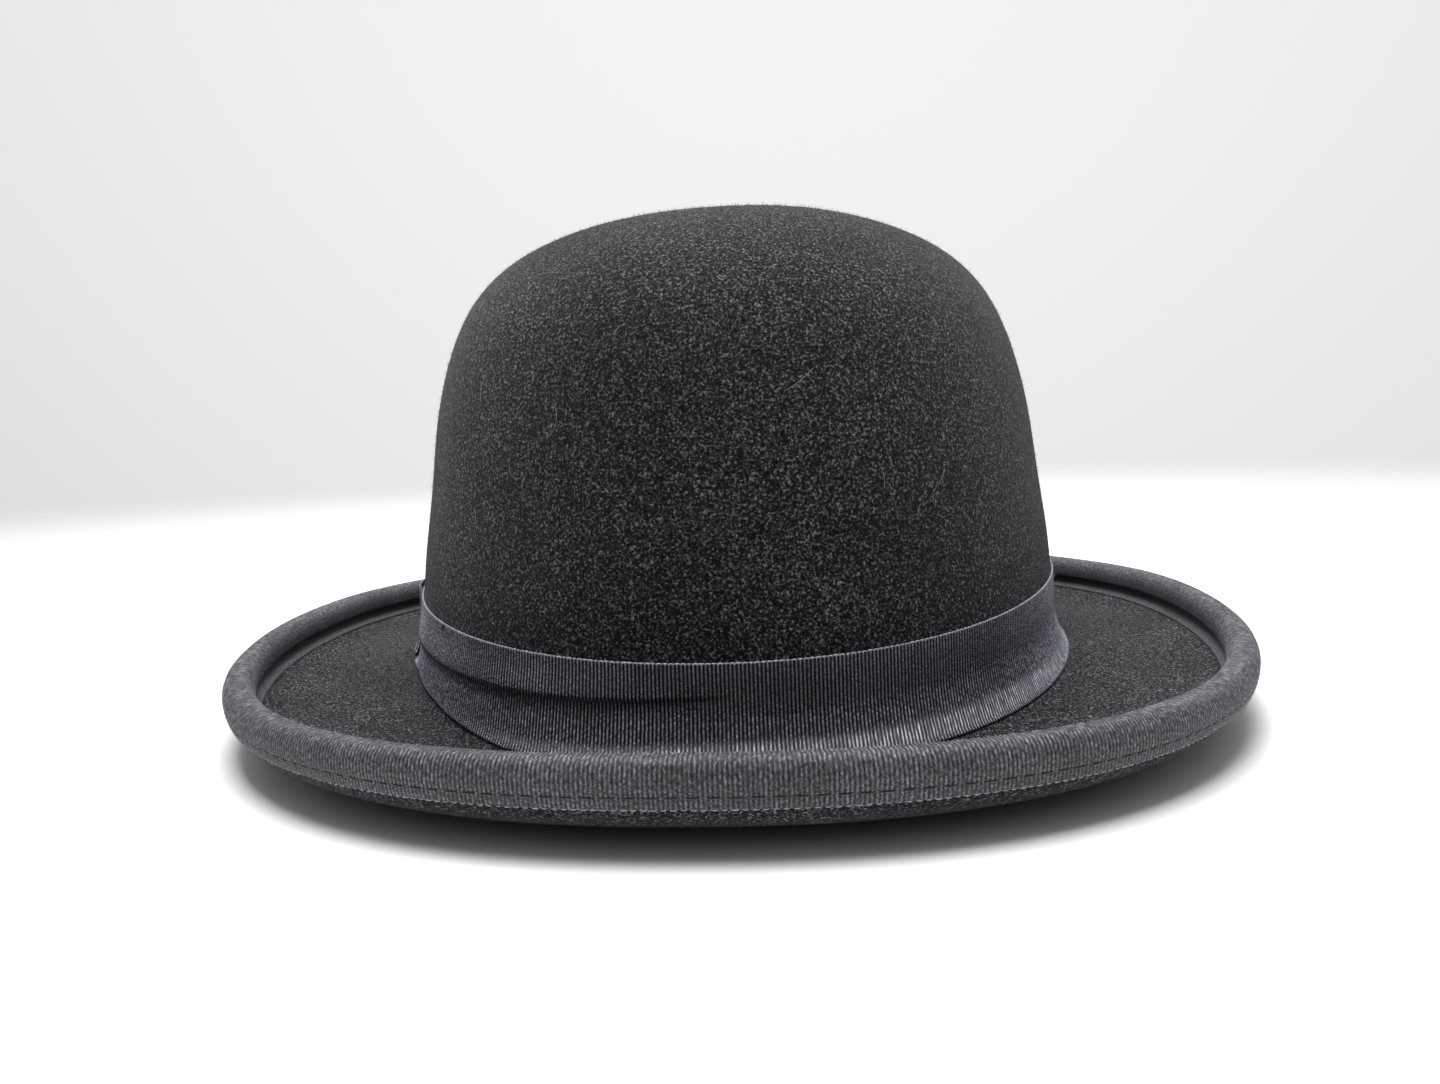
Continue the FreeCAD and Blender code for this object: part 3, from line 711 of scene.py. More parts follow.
class HAT_OT_nap(bpy.types.Operator):
    """Short loose fibres on the felt and finer fuzz on the ribbons."""
    bl_idname = "hat.nap"
    bl_label = "Felt nap"

    def execute(self, context):
        look = context.scene.hat_felt
        rng = np.random.default_rng(RNG_SEED)
        crown = int(0.66 * look.fibres)
        brim = int(0.22 * look.fibres)
        below = look.fibres - crown - brim
        inside = BRIM.where(lambda r, z: r > 127.0)
        low = BRIM.where(lambda r, z: r > 116.0)
        s1 = CROWN.length * rng.random(crown) ** 0.85 * 0.995
        s2 = BAND_WIDTH - 3.0 + (inside - BAND_WIDTH + 3.0) * rng.random(brim)
        s3 = low + (BINDING_START - 0.4 - low) * rng.random(below)
        patches = [surface(CROWN, s1, np.zeros(crown), rng.random(crown) * 360.0),
                   surface(BRIM, s2, np.zeros(brim), rng.random(brim) * 360.0),
                   surface(BRIM, s3, -felt_at(s3), rng.random(below) * 360.0)]
        root = uneven(np.concatenate([p[0] for p in patches]), look.dents)
        out = np.concatenate([p[1] for p in patches])
        obj = fibres("felt_nap", root, out, look.fibre_length, 0.045 * MM, rng)
        dress(obj, nap_finish("felt_nap", look.colour, 1.0), "felt")
        band = look.fuzz // 2
        s4 = rng.random(band) * BAND_WIDTH
        s5 = BINDING_START + (BRIM.length - BINDING_START) * rng.random(band)
        patches = [surface(BRIM, s4, band_lift(s4) + RIBBON, rng.random(band) * 360.0),
                   surface(BRIM, s5, -felt_at(s5) - BINDING, rng.random(band) * 360.0)]
        root = np.concatenate([p[0] for p in patches])
        out = np.concatenate([p[1] for p in patches])
        obj = fibres("ribbon_fuzz", root, out, 0.85 * MM, 0.016 * MM, rng)
        dress(obj, nap_finish("ribbon_fuzz", look.colour, 1.8), "grosgrain")
        return {"FINISHED"}


def rib_wave(columns, ribs):
    """Relief from -0.5 to 0.5 over the columns of a ribbed ribbon."""
    return 0.5 * np.cos(TURN * ribs * np.arange(columns) / (columns - 1))


# ---- the crease at the back left: angles with distances down the band, or shares ----
CREASE_AT = ([205.0, 225.0, 245.0, 268.0, 282.0], [9.2, 8.6, 8.0, 7.1, 7.0])
CREASE_SHARE = ([199.0, 212.0, 228.0, 246.0, 262.0, 274.0], [0.0, 0.75, 1.0, 0.8, 0.42, 0.0])
TAKEN_UP = ([200.0, 212.0, 226.0, 244.0], [0.0, 4.0, 3.2, 0.4])


def band_rows(degrees, bulge):
    """Rows (length, depth) down the hatband, with one fold pressed in at the back left."""
    line = np.interp(degrees, *CREASE_AT)
    share = smooth(np.interp(degrees, *CREASE_SHARE))
    end = BAND_WIDTH - np.interp(degrees, *TAKEN_UP)
    ease = 0.07 * np.sin(np.radians(degrees) * 9.0)
    rows = [(np.full(len(line), 0.05), np.zeros(len(line)))]
    for u in np.linspace(0.04, 1.0, 9):
        s = u * (line + 0.9 * share)
        rows.append((s, share * bulge * smooth(u) ** 1.3 + ease * u))
    for back, deep in ((0.15, 0.80), (0.75, 0.45), (1.7, 0.10), (2.3, 0.0)):
        s = line + 0.9 * share + 0.12 * back * (1.0 - share) - back * share
        rows.append((s, share * bulge * deep + ease))
    start = rows[-1][0]
    for v in (0.04, 0.10, 0.18, 0.3, 0.45, 0.6, 0.75, 0.88, 0.97, 1.0):
        s = start + v * (end - start)
        sag = 0.45 * bulge * share * math.sin(math.pi * v)
        rows.append((s, sag + ease * (1.0 - v)))
    return rows, end


class HAT_OT_hatband(bpy.types.Operator):
    """Grosgrain hatband with its crease and picot edge; the picots are coloured pale as a painted
    highlight.
    """
    bl_idname = "hat.hatband"
    bl_label = "Hatband"

    def execute(self, context):
        look = context.scene.hat_ribbon
        ribs = int(round(BAND_GIRTH * MM / look.pitch))
        columns = ribs * 4 + 1
        degrees = even_angles(*BAND_RING, columns)
        bulge = look.crease / MM
        wave = rib_wave(columns, ribs) * look.band_relief / MM
        front, end = band_rows(degrees, bulge)
        rows = []
        for s, depth in front[::-1]:
            rows.append(on_band(s, RIBBON * 0.9 + depth + wave, degrees))
        rows = [on_band(end, 0.02, degrees)] + rows
        for share in (0.0, 0.3, 0.6, 1.0):
            rows.append(on_band(share * end, 0.02, degrees))
        points = np.array(rows)
        obj = quilt("hatband_ribbon", points, True, True, (float(ribs), 2.4 * BAND_WIDTH))
        dress(obj, band_finish("hatband_grosgrain", look), "grosgrain", "hatband")
        # Picots coloured pale as a painted highlight along the band's top edge.
        picots("hatband_picots", 490, lambda a: on_band(np.zeros(len(a)), RIBBON * 0.6, a),
               BAND_RING, (0.58, 0.20, 0.18), (0.42, 0.43, 0.46), "grosgrain")
        return {"FINISHED"}


def even_angles(r, z, columns):
    """Angles whose points are evenly spaced along the ring through (r, z)."""
    dense = np.linspace(0.0, 360.0, 7201)
    p = place(np.full(7201, r), np.full(7201, z), dense)
    walk = np.concatenate([[0.0], np.cumsum(np.linalg.norm(np.diff(p, axis=0), axis=1))])
    return np.interp(np.linspace(0.0, walk[-1], columns), walk, dense)


def picots(name, count, line, ring, size, tone, slot):
    """Row of small loops along a ribbon's edge, coloured pale as a painted highlight where the edge catches
    the light.
    """
    degrees = even_angles(*ring, count + 1)
    centre = line(degrees[:-1])
    ahead = line(degrees[:-1] + 0.2)
    way = ahead - centre
    way /= np.linalg.norm(way, axis=1, keepdims=True)
    rng = np.random.default_rng(RNG_SEED + count)
    up = np.array([0.0, 0.0, 1.0]) - way * way[:, 2:3]
    up /= np.linalg.norm(up, axis=1, keepdims=True)
    out = np.cross(way, up)
    half, high, deep = (v * MM for v in size)
    grow = rng.uniform(0.8, 1.15, (count, 1, 1))
    bead = []
    for t in (-1.0, -0.6, 0.0, 0.6, 1.0):
        k = math.sqrt(max(0.02, 1.0 - t * t))
        for q in range(6):
            c, s = math.cos(TURN * q / 6), math.sin(TURN * q / 6)
            bead.append((t * half, c * k * high, s * k * deep))
    bead = np.array(bead)
    axes = np.stack([way, up, out], 1)
    vertices = centre[:, None, :] + (bead[None] * grow) @ axes
    quads = []
    for i in range(4):
        for q in range(6):
            quads.append((i * 6 + q, i * 6 + (q + 1) % 6, i * 6 + 6 + (q + 1) % 6, i * 6 + 6 + q))
    quads = np.array(quads)[None] + (np.arange(count) * 30)[:, None, None]
    obj = loose(name, vertices.reshape(-1, 3), quads.reshape(-1, 4))
    cap_ends(obj, 6)
    # The pale tone is a painted highlight along the ribbon's edge.
    dress(obj, thread_finish(name + "_thread", tone), slot)
    return obj


class HAT_OT_binding(bpy.types.Operator):
    """Ribbon folded over the rim's raw edge, sewn near its outer edge."""
    bl_idname = "hat.binding"
    bl_label = "Brim binding"

    def execute(self, context):
        look = context.scene.hat_ribbon
        ribs = int(round(RIM_GIRTH * MM / look.pitch))
        columns = ribs * 3 + 1
        degrees = even_angles(*RIM_RING, columns)
        start = BINDING_START
        wave = rib_wave(columns, ribs) * look.binding_relief / MM
        seam = start + BINDING_STITCH_UP
        outer = np.concatenate([[start, start + 0.1, start + 0.7], seam + np.array([-0.25, 0.0, 0.25]),
                                np.linspace(seam + 0.75, BRIM.length, 12)])
        rows = []
        for i, s in enumerate(outer):
            edge = 0.55 if i == 0 else 1.0
            sewn = 0.16 * math.exp(-((s - seam) / 0.22) ** 2)
            shift = -felt_at(s) - CLEAR - BINDING * edge + sewn - wave * edge
            r, z = BRIM.at(np.full(columns, s), shift)
            rows.append(place(r, z, degrees))
        way = BRIM.way[-1]
        thick = float(felt_at(BRIM.length))
        for turn, reach in ((-thick - BINDING * 0.8, 0.42), (-0.5 * thick, 0.6), (0.8 * BINDING, 0.42)):
            r, z = BRIM.at(np.full(columns, BRIM.length), turn - 0.3 * wave)
            rows.append(place(r + way[0] * reach, z + way[1] * reach, degrees))
        r, z = BRIM.at(np.full(columns, BRIM.length), CLEAR)
        rows.append(place(r, z, degrees))
        for s in np.linspace(BRIM.length, start, 4):
            r, z = BRIM.at(np.full(columns, s), -felt_at(s) - 0.5 * CLEAR)
            rows.append(place(r, z, degrees))
        rows.append(rows[0])
        obj = quilt("binding_outer_leg", np.array(rows), True, True, (float(ribs), 2.4 * 14.0))
        inner = BINDING_INNER
        columns = 541
        few = even_angles(130.0, 6.0, columns)
        leg = []
        for s in np.concatenate([[inner + 0.05], np.linspace(inner + 0.35, BRIM.length - 0.2, 18)]):
            r, z = BRIM.at(np.full(columns, s), CLEAR + BINDING * (0.6 if s < inner + 0.1 else 1.0))
            leg.append(place(r, z, few))
        for s in np.linspace(BRIM.length - 0.2, inner, 8):
            r, z = BRIM.at(np.full(columns, s), CLEAR * 0.5)
            leg.append(place(r, z, few))
        leg.append(leg[0])
        lower = quilt("binding_inner_leg", np.array(leg)[::-1], True, True, (float(ribs), 2.4 * 16.0))
        obj = join("brim_binding_ribbon", [obj, lower])
        # Binding ribs get the same painted highlight on crests and painted shade in valleys.
        dress(obj, grosgrain_finish("binding_grosgrain", look.binding_colour, 1.9, 0.42, 0.12, 1.1, 0.3),
              "binding_grosgrain", "brim_binding")

        def edge(a):
            r, z = BRIM.at(np.full(len(a), start), -felt_at(start) - CLEAR - BINDING * 0.6)
            return place(r, z, a)

        # Picots coloured pale as a painted highlight along the binding's edge.
        picots("binding_picots", 524, edge, RIM_RING, (0.60, 0.20, 0.20), (0.36, 0.37, 0.40),
               "binding_grosgrain")
        return {"FINISHED"}


class HAT_OT_stitches(bpy.types.Operator):
    """Lock stitch along the binding and the row on the sweatband."""
    bl_idname = "hat.stitches"
    bl_label = "Stitches"

    def execute(self, context):
        look = context.scene.hat_ribbon
        s = BINDING_START + BINDING_STITCH_UP
        degrees = even_angles(*RIM_RING, BINDING_STITCHES + 1)
        lines = []
        for a, b in zip(degrees[:-1], degrees[1:]):
            t = np.linspace(0.0, 1.0, 6)
            dip = 0.18 * np.abs(2.0 * t - 1.0) ** 3
            r, z = BRIM.at(np.full(6, s), -felt_at(s) - CLEAR - BINDING + 0.02 + dip)
            lines.append(place(r, z, a + (b - a) * (0.1 + 0.78 * t)))
        obj = tubes("binding_lock_stitch", lines, 0.17 * MM)
        dress(obj, thread_finish("dark_thread", (0.004, 0.004, 0.005)), "thread", "binding_stitches")
        lines = []
        degrees = even_angles(88.0, SWEAT_BOTTOM + 2.8, SWEAT_STITCHES + 1)
        for a, b in zip(degrees[:-1], degrees[1:]):
            t = np.linspace(0.0, 1.0, 5)
            dip = 0.3 * np.abs(2.0 * t - 1.0) ** 3
            r = SWEAT_OUTER - LEATHER - 0.16 + dip
            z = np.full(5, SWEAT_BOTTOM + SWEAT_STITCH_UP)
            lines.append(place(r, z, a + (b - a) * (0.12 + 0.7 * t)))
        obj = tubes("sweatband_stitch_row", lines, 0.2 * MM)
        dress(obj, thread_finish("leather_thread", (0.03, 0.02, 0.014)), "thread", "sweatband_stitches")
        return {"FINISHED"}


def strip(name, points, ribs, thick):
    """Thin ribbon from a sheet of points, given its thickness by Solidify."""
    obj = quilt(name, points, False, False, ribs)
    only(obj)
    bpy.ops.object.modifier_add(type="SOLIDIFY")
    solid = obj.modifiers[-1]
    solid.thickness = thick
    solid.offset = 0.0
    bpy.ops.object.modifier_apply(modifier=solid.name)
    smooth_shade(obj)
    return obj


class HAT_OT_bow(bpy.types.Operator):
    """Flat side bow: two folded loops and the strip that gathers them."""
    bl_idname = "hat.bow"
    bl_label = "Side bow"

    def execute(self, context):
        look = context.scene.hat_ribbon
        pitch = look.pitch / MM
        low = RIBBON + 0.3
        high = RIBBON + BOW_DEPTH - 0.15
        loops = []
        for sign in (-1.0, 1.0):
            reach = 29.5
            flat = np.linspace(0.0, 1.0, 60)
            turn = np.linspace(0.0, math.pi, 13)[1:-1]
            radius = 0.5 * (high - low)
            x = np.concatenate([flat * (reach - radius), reach - radius + radius * np.sin(turn),
                                flat[::-1] * (reach - radius)])
            d = np.concatenate([np.full(60, low), 0.5 * (low + high) - radius * np.cos(turn),
                                np.full(60, high)])
            x = np.maximum(x, 0.4)
            pinch = np.exp(-(x / 7.0) ** 2)
            d = low + (d - low) * (1.0 - 0.45 * pinch) * (1.0 - 0.45 * (x / reach) ** 4) + 0.1
            walk = np.concatenate([[0.0], np.cumsum(np.hypot(np.diff(x), np.diff(d)))])
            ribs = walk[-1] / pitch
            columns = int(ribs * 4)
            even = np.linspace(0.0, walk[-1], columns)
            x = np.interp(even, walk, x)
            d = np.interp(even, walk, d)
            top_side = np.clip((d - low) / (high - low), 0.0, 1.0)
            wave = rib_wave(columns, ribs) * look.band_relief / MM
            width = BAND_WIDTH - 1.6
            rows = []
            for v in np.linspace(0.0, 1.0, 15):
                squeeze = 1.0 - 0.10 * np.exp(-(x / 6.0) ** 2)
                s = 0.5 * BAND_WIDTH + (v - 0.5) * width * squeeze
                puff = 0.35 * math.sin(math.pi * v) * np.sin(math.pi * np.clip(x / 31.5, 0, 1)) * top_side
                angle = BOW_ANGLE + sign * np.degrees(x / 86.0)
                ribbing = wave * 0.8 * np.where(top_side > 0.5, 1.0, -1.0)
                rows.append(on_band(s, d + puff + ribbing, angle))
            points = np.array(rows)
            if sign > 0:
                points = points[::-1]
            loops.append(strip("bow_loop", points, (ribs, 2.4 * width), 0.32 * MM))
        obj = join("side_bow_ribbon", loops)
        finish = band_finish("bow_grosgrain", look)
        dress(obj, finish, "grosgrain", "side_bow_loops")
        knot_low = RIBBON + BOW_DEPTH + 0.05
        s_line = np.concatenate([[-0.3], np.linspace(0.2, BAND_WIDTH - 0.2, 90), [BAND_WIDTH + 0.3]])
        d_line = np.concatenate([[knot_low - 2.2], np.full(90, knot_low + 0.35), [knot_low - 2.2]])
        mid = (s_line - 0.5 * BAND_WIDTH) / (0.5 * BAND_WIDTH)
        d_line = d_line + 0.35 * (1.0 - mid ** 2) - 1.1 * np.clip(np.abs(mid) - 0.85, 0.0, 1.0) / 0.15 * 0.5
        ribs = BAND_WIDTH / pitch
        wave = 0.5 * np.cos(TURN * ribs * mid * 0.5) * look.band_relief / MM
        columns = []
        for u in np.linspace(-1.0, 1.0, 17):
            width = KNOT_HALF * (1.0 + 0.12 * mid ** 2)
            fall = 0.55 * abs(u) ** 6
            pleat = 0.14 * math.cos(u * 7.0)
            s = np.clip(s_line, 0.0, BAND_WIDTH)
            depth = d_line - fall + pleat * (1.0 - mid ** 2) + wave
            columns.append(on_band(s, depth, BOW_ANGLE + u * width))
        points = np.array(columns)
        knot = strip("side_bow_wrap", points[::-1], (ribs, 2.4 * 12.0), 0.32 * MM)
        dress(knot, finish, "grosgrain", "side_bow_knot")
        return {"FINISHED"}


class HAT_OT_sweatband(bpy.types.Operator):
    """Leather sweatband, its tape and the small bow at the back."""
    bl_idname = "hat.sweatband"
    bl_label = "Sweatband"

    def execute(self, context):
        look = context.scene.hat_inside
        columns = 481
        degrees = np.linspace(0.0, 360.0, columns)
        height = SWEAT_TOP - SWEAT_BOTTOM
        levels = np.concatenate([[0.0, 0.012], np.linspace(0.05, 0.95, 15), [0.988, 1.0]])
        seam = np.exp(-((degrees - BACK) / 0.22) ** 2)
        ripple = 0.16 * np.sin(np.radians(degrees) * 17.0) + 0.12 * np.sin(np.radians(degrees) * 31.0 + 1.0)

        def wall(level, depth):
            lean = SWEAT_LEAN * level
            top = ripple * level ** 2
            return place(SWEAT_OUTER - lean - depth + top * 0.6,
                         SWEAT_BOTTOM + height * level + 0.25 * top, degrees)

        rows = [wall(v, LEATHER * (0.5 if v in (0.0, 1.0) else 1.0) - 0.35 * seam
                     - 0.12 * math.exp(-((v * height - SWEAT_STITCH_UP) / 0.5) ** 2))
                for v in levels[::-1]]
        rows += [wall(v, 0.0) for v in (0.02, 0.35, 0.7, 0.98)]
        rows.append(rows[0])
        obj = quilt("sweatband_leather_strip", np.array(rows), True, True)
        dress(obj, leather_finish(look), "leather", "sweatband")
        centre = (SWEAT_OUTER - 0.5 * LEATHER + 0.3, SWEAT_BOTTOM - REED_R - TAPE - 0.1)
        radius = REED_R + 0.04 + TAPE
        turns = np.linspace(0.0, -TURN, 15)
        few = np.linspace(0.0, 360.0, 361)
        ring = [place(centre[0] + radius * math.cos(t), centre[1] + radius * math.sin(t), few)
                for t in turns]
        tube = quilt("reed_tape_tube", np.array(ring)[::-1], True, True)
        dress(tube, tape_finish(), "tape", "reed_tape")
        self.small_bow(context)
        return {"FINISHED"}

    def small_bow(self, context):
        """Two little loops and a wrap of narrow ribbon at the back seam."""
        ribbon = context.scene.hat_ribbon
        # Small bow ribs get the same painted highlight on crests and painted shade in valleys.
        finish = grosgrain_finish("small_bow_ribbon", ribbon.band_colour, 3.0, 0.5, 0.2)
        base = SWEAT_OUTER - LEATHER - 0.3
        middle = SWEAT_BOTTOM + 7.5
        parts = []
        for sign in (-1.0, 1.0):
            t = np.linspace(0.0, 1.0, 34)
            x = 11.0 * np.sin(math.pi * np.clip(t, 0, 1)) ** 0.8
            d = 0.25 + 0.95 * t + 0.25 * np.sin(math.pi * t)
            rows = []
            for v in np.linspace(-1.0, 1.0, 9):
                wide = 3.2 * (0.45 + 0.55 * np.clip(x / 6.0, 0, 1))
                angle = BACK + sign * np.degrees(x / 95.0)
                rows.append(place(base - d - 0.02 * (middle - SWEAT_BOTTOM), middle + v * wide, angle))
            points = np.array(rows)
            parts.append(strip("small_loop", points if sign > 0 else points[::-1], (26.0, 16.0), 0.22 * MM))
        obj = join("sweatband_bow_ribbon", parts)
        dress(obj, finish, "bow_ribbon", "sweatband_bow")
        rows = []
        for u in np.linspace(-1.0, 1.0, 9):
            v = np.linspace(-1.0, 1.0, 15)
            d = 1.55 + 0.35 * (1.0 - v ** 2) - 0.35 * abs(u) ** 4
            rows.append(place(base - d, middle + v * 2.7, BACK + u * 1.25))
        wrap = strip("sweatband_bow_wrap", np.array(rows)[::-1], (5.0, 8.0), 0.22 * MM)
        dress(wrap, finish, "bow_ribbon", "sweatband_bow_knot")


class HAT_OT_lining(bpy.types.Operator):
    """Satin lining wall, oval tip and the piping between them."""
    bl_idname = "hat.lining"
    bl_label = "Lining"

    def execute(self, context):
        look = context.scene.hat_inside
        finish = satin_finish(look)
        tip = CROWN.where(lambda r, z: r < TIP_RADIUS)
        start = CROWN.where(lambda r, z: z > LINING_BOTTOM)
        columns = 601
        degrees = np.linspace(0.0, 360.0, columns)
        turn = np.radians(degrees)
        folds = 0.5 * np.sin(turn * 43.0 + 0.8 * np.sin(turn * 5.0)) + 0.3 * np.sin(turn * 71.0)

        def wall(s, depth):
            share = (s - start) / (tip - start)
            ease = 0.55 * folds * share * (1.0 - share) * 4.0 + 0.5 * share * (1.0 - share) * 4.0
            r, z = CROWN.at(np.full(columns, s), LINING_GAP + depth + np.maximum(ease, -0.1))
            return place(r, z, degrees)

        levels = np.linspace(start, tip - 1.2, 40)
        rows = [wall(s, SATIN * 0.6) for s in levels[::-1]] + [wall(s, 0.1) for s in levels[::8]]
        rows.append(rows[0])
        obj = quilt("lining_wall", np.array(rows), True, True, (600.0, 80.0))
        dress(obj, finish, "satin", "lining_side")
        levels = np.linspace(tip + 1.2, CROWN.length - 0.02, 30)
        few = np.linspace(0.0, 360.0, 241)
        rows = []
        for depth, steps in ((SATIN * 0.7, levels[::-1]), (0.05, levels[::3])):
            for s in steps:
                ease = 0.6 * math.sin(math.pi * (s - tip) / (CROWN.length - tip))
                r, z = CROWN.at(np.full(241, s), LINING_GAP + depth + ease)
                if s == levels[-1]:
                    r = r * 0.0
                rows.append(place(r, z, few))
        top = quilt("lining_tip_oval", np.array(rows), True, False, (241.0, 60.0))
        dress(top, finish, "satin", "lining_tip")
        r0, z0 = CROWN.at(tip, LINING_GAP + PIPING_R)
        turns = np.linspace(0.0, TURN, 13)
        cord = np.array([place(r0 + PIPING_R * math.cos(t), z0 + PIPING_R * math.sin(t), degrees)
                         for t in turns])
        piping = quilt("lining_piping_cord", cord, True, True, (600.0, 6.0))
        dress(piping, finish, "satin", "lining_piping")
        return {"FINISHED"}


class HAT_OT_hidden(bpy.types.Operator):
    """Finishes for the solids that keep their shape: reed, patch, ticket and tacks."""
    bl_idname = "hat.hidden"
    bl_label = "Hidden parts"

    def execute(self, context):
        tape = tape_finish()
        thread = thread_finish("tack_thread", (0.012, 0.012, 0.014))
        wanted = {
            "sweatband_reed": reed_finish(), "sweatband_seam_patch": tape, "size_tag": ticket_finish(),
            "hatband_tacks": thread, "bow_tacks": thread, "lining_tacks": thread,
        }
        for node, material in wanted.items():
            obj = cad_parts[node]
            obj.data.materials.clear()
            obj.data.materials.append(material)
        return {"FINISHED"}


class HAT_OT_hairs(bpy.types.Operator):
    """A few stray pale hairs and dust threads caught in the felt."""
    bl_idname = "hat.hairs"
    bl_label = "Stray hairs"

    def execute(self, context):
        rng = np.random.default_rng(RNG_SEED + 5)
        spots = [(236.0, 60.0), (243.0, 40.0), (250.0, 52.0), (258.0, 66.0), (284.0, 58.0), (291.0, 38.0),
                 (299.0, 30.0), (268.0, 110.0), (262.0, 118.0), (225.0, 80.0), (302.0, 70.0), (276.0, 24.0),
                 (40.0, 60.0), (80.0, 45.0), (120.0, 90.0), (350.0, 70.0), (15.0, 100.0)]
        lines = []
        for angle, s in spots:
            t = np.linspace(0.0, 1.0, 14)
            head = rng.uniform(0.0, TURN)
            curl = rng.uniform(-2.6, 2.6)
            length = rng.uniform(3.0, 9.0)
            turn = head + curl * t
            x = np.cumsum(np.cos(turn)) * length / 14
            y = np.cumsum(np.sin(turn)) * length / 14
            lift = 0.25 + 0.5 * np.sin(math.pi * t) * rng.random()
            r, z = CROWN.at(np.clip(s + y, 0.5, CROWN.length - 1.0), -lift)
            lines.append(place(r, z, angle + np.degrees(x / 90.0)))
        on_brim = ((318.0, 118.0), (322.0, 112.0), (305.0, 121.0), (232.0, 116.0), (30.0, 110.0))
        for angle, radius in on_brim:
            t = np.linspace(0.0, 1.0, 14)
            s0 = BRIM.where(lambda r, z: r > radius)
            bend = np.sin(t * rng.uniform(2.0, 4.0)) * rng.uniform(1.0, 2.5)
            r, z = BRIM.at(s0 + bend, 0.35)
            lines.append(place(r, z, angle + np.degrees(t * rng.uniform(5.0, 15.0) / 120.0)))
        obj = tubes("stray_hairs", lines, 0.035 * MM, sides=4, taper=0.5)
        f = Finish("pale_hair", 0.5, Specular_IOR_Level=0.5)
        tone = f.noise(f.place(), 500.0)
        dress(obj, f.finish(f.ramp(tone, [(0.3, [0.22, 0.21, 0.20]), (0.7, [0.5, 0.49, 0.47])])), "thread")
        return {"FINISHED"}


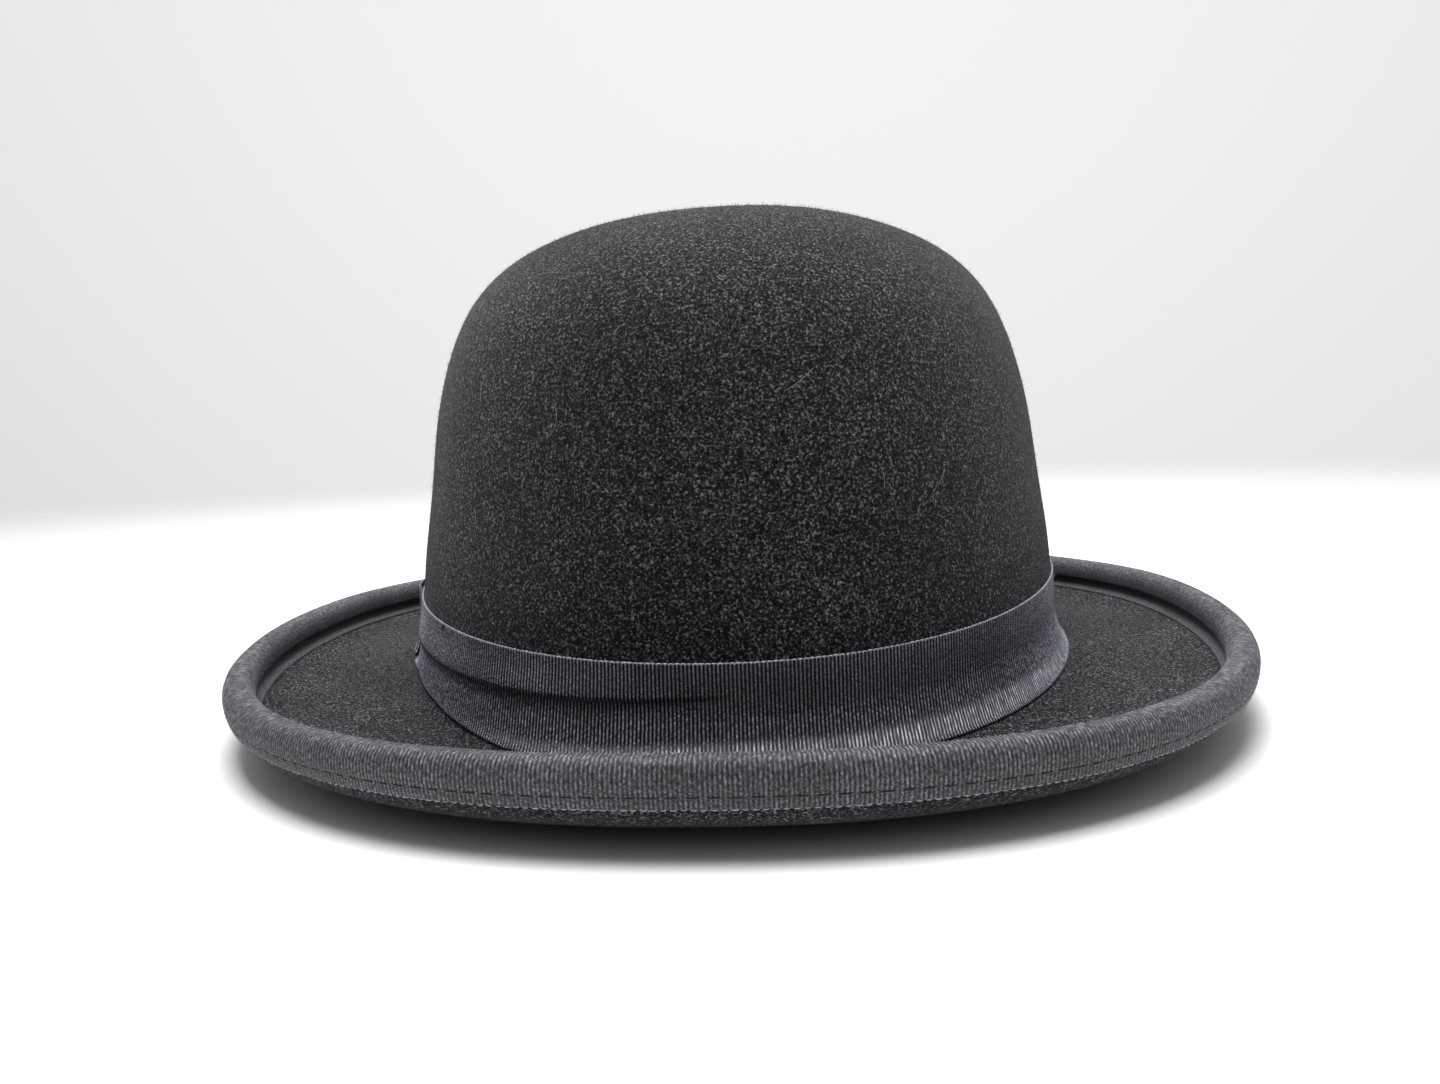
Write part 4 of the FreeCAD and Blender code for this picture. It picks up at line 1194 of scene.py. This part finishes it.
class HAT_OT_stage(bpy.types.Operator):
    """Pale floor, soft light and the camera."""
    bl_idname = "hat.stage"
    bl_label = "Stage"

    def execute(self, context):
        look = context.scene.hat_stage
        bpy.ops.object.select_all(action="DESELECT")
        bpy.ops.mesh.primitive_circle_add(vertices=96, radius=3.0, fill_type="NGON")
        floor = context.object
        floor.name = "floor"
        f = Finish("pale_floor", 0.6, Specular_IOR_Level=0.15)
        at = f.place()
        cloud = f.noise(at, 3.0, 2.0)
        tone = look.floor_colour
        away = f.add("ShaderNodeVectorMath", {0: at}, operation="LENGTH").outputs["Value"]
        fade = f.add("ShaderNodeMapRange", {"Value": away, "From Min": 0.25, "From Max": 1.25,
                                            "To Min": 1.0, "To Max": 0.0}).outputs["Result"]
        f.tree.links.new(fade, f.shader.inputs["Alpha"])
        f.finish(f.ramp(cloud, [(0.3, [0.985 * v for v in tone]), (0.7, list(tone))]))
        floor.data.materials.append(f.material)
        self.room(context, look.sky)
        self.light("top_window", (-0.04, 0.05, 1.15), (0.0, 0.0, 0.05), 0.8, look.window)
        context.scene.view_settings.view_transform = "Standard"
        self.camera(context, look)
        return {"FINISHED"}

    def room(self, context, strength):
        """Bright wall beyond the hat and ceiling, dim room behind the camera."""
        world = bpy.data.worlds.new("soft_room")
        context.scene.world = world
        world.use_nodes = True
        nodes, links = world.node_tree.nodes, world.node_tree.links
        way = nodes.new("ShaderNodeTexCoord").outputs["Generated"]
        ahead = nodes.new("ShaderNodeVectorMath")
        ahead.operation = "DOT_PRODUCT"
        ahead.inputs[1].default_value = (0.0, 0.48, 0.24)
        links.new(way, ahead.inputs[0])
        total = nodes.new("ShaderNodeMath")
        total.operation = "ADD"
        total.inputs[1].default_value = 0.37
        links.new(ahead.outputs["Value"], total.inputs[0])
        low = nodes.new("ShaderNodeMath")
        low.operation = "MAXIMUM"
        low.inputs[1].default_value = 0.07
        links.new(total.outputs[0], low.inputs[0])
        background = nodes["Background"]
        power = nodes.new("ShaderNodeMath")
        power.operation = "MULTIPLY"
        power.inputs[1].default_value = strength
        links.new(low.outputs[0], power.inputs[0])
        background.inputs["Color"].default_value = (1.0, 1.0, 1.0, 1.0)
        links.new(power.outputs[0], background.inputs["Strength"])

    def light(self, name, where, target, size, power):
        """Square soft light aimed at a point."""
        bpy.ops.object.select_all(action="DESELECT")
        bpy.ops.object.light_add(type="AREA", location=where)
        lamp = bpy.context.object
        lamp.name = name
        lamp.data.size = size
        lamp.data.energy = power
        aim = Vector(target) - Vector(where)
        lamp.rotation_mode = "QUATERNION"
        lamp.rotation_quaternion = aim.to_track_quat("-Z", "Y")

    def camera(self, context, look):
        """Camera behind the hat, close and a little above the brim."""
        c, s = math.cos(look.pitch), math.sin(look.pitch)
        right = Vector((1.0, 0.0, 0.0))
        up = Vector((0.0, s, c))
        ahead = Vector((0.0, c, -s))
        aside = -5.739 * MM
        above = 14.730 * MM
        where = right * aside + up * above - ahead * look.distance
        roll = Matrix.Rotation(look.roll, 3, "Y")
        turn = Matrix.Rotation(-look.yaw, 3, "Z")
        back = turn @ roll
        origin = Vector((0.0, 0.0, 20.7 * MM))
        data = bpy.data.cameras.new("hat_camera")
        camera = bpy.data.objects.new("hat_camera", data)
        context.scene.collection.objects.link(camera)
        data.sensor_width = 36.0
        data.lens = look.lens
        data.clip_start = 0.01
        camera.location = back @ where + origin
        axes = Matrix((back @ right, back @ up, back @ -ahead)).transposed()
        camera.rotation_mode = "QUATERNION"
        camera.rotation_quaternion = axes.to_quaternion()
        context.scene.camera = camera


GROUPS = (("hat_felt", FeltLook), ("hat_ribbon", RibbonLook), ("hat_inside", InsideLook),
          ("hat_stage", StageLook))
OPERATORS = (HAT_OT_stage, HAT_OT_felt, HAT_OT_nap, HAT_OT_hatband, HAT_OT_binding, HAT_OT_stitches,
             HAT_OT_bow, HAT_OT_sweatband, HAT_OT_lining, HAT_OT_hidden, HAT_OT_hairs)


class HAT_PT_panel(bpy.types.Panel):
    """Every step of dressing the hat."""
    bl_label = "Bowler hat"
    bl_idname = "HAT_PT_panel"
    bl_space_type = "VIEW_3D"
    bl_region_type = "UI"
    bl_category = "Hat"

    def draw(self, context):
        for name, group in GROUPS:
            settings = getattr(context.scene, name)
            for key in group.__annotations__:
                self.layout.prop(settings, key)
        for operator in OPERATORS:
            self.layout.operator(operator.bl_idname)


def register():
    """Add the settings, operators and panel."""
    for name, group in GROUPS:
        bpy.utils.register_class(group)
        setattr(bpy.types.Scene, name, bpy.props.PointerProperty(type=group))
    for operator in OPERATORS:
        bpy.utils.register_class(operator)
    bpy.utils.register_class(HAT_PT_panel)


def unregister():
    """Remove them again."""
    bpy.utils.unregister_class(HAT_PT_panel)
    for operator in reversed(OPERATORS):
        bpy.utils.unregister_class(operator)
    for name, group in reversed(GROUPS):
        delattr(bpy.types.Scene, name)
        bpy.utils.unregister_class(group)


def main():
    """Dress the hat, one operator after another."""
    register()
    for operator in OPERATORS:
        group, step = operator.bl_idname.split(".")
        if getattr(getattr(bpy.ops, group), step)() != {"FINISHED"}:
            raise RuntimeError(operator.bl_idname + " did not finish")


if __name__ == "__main__":
    main()
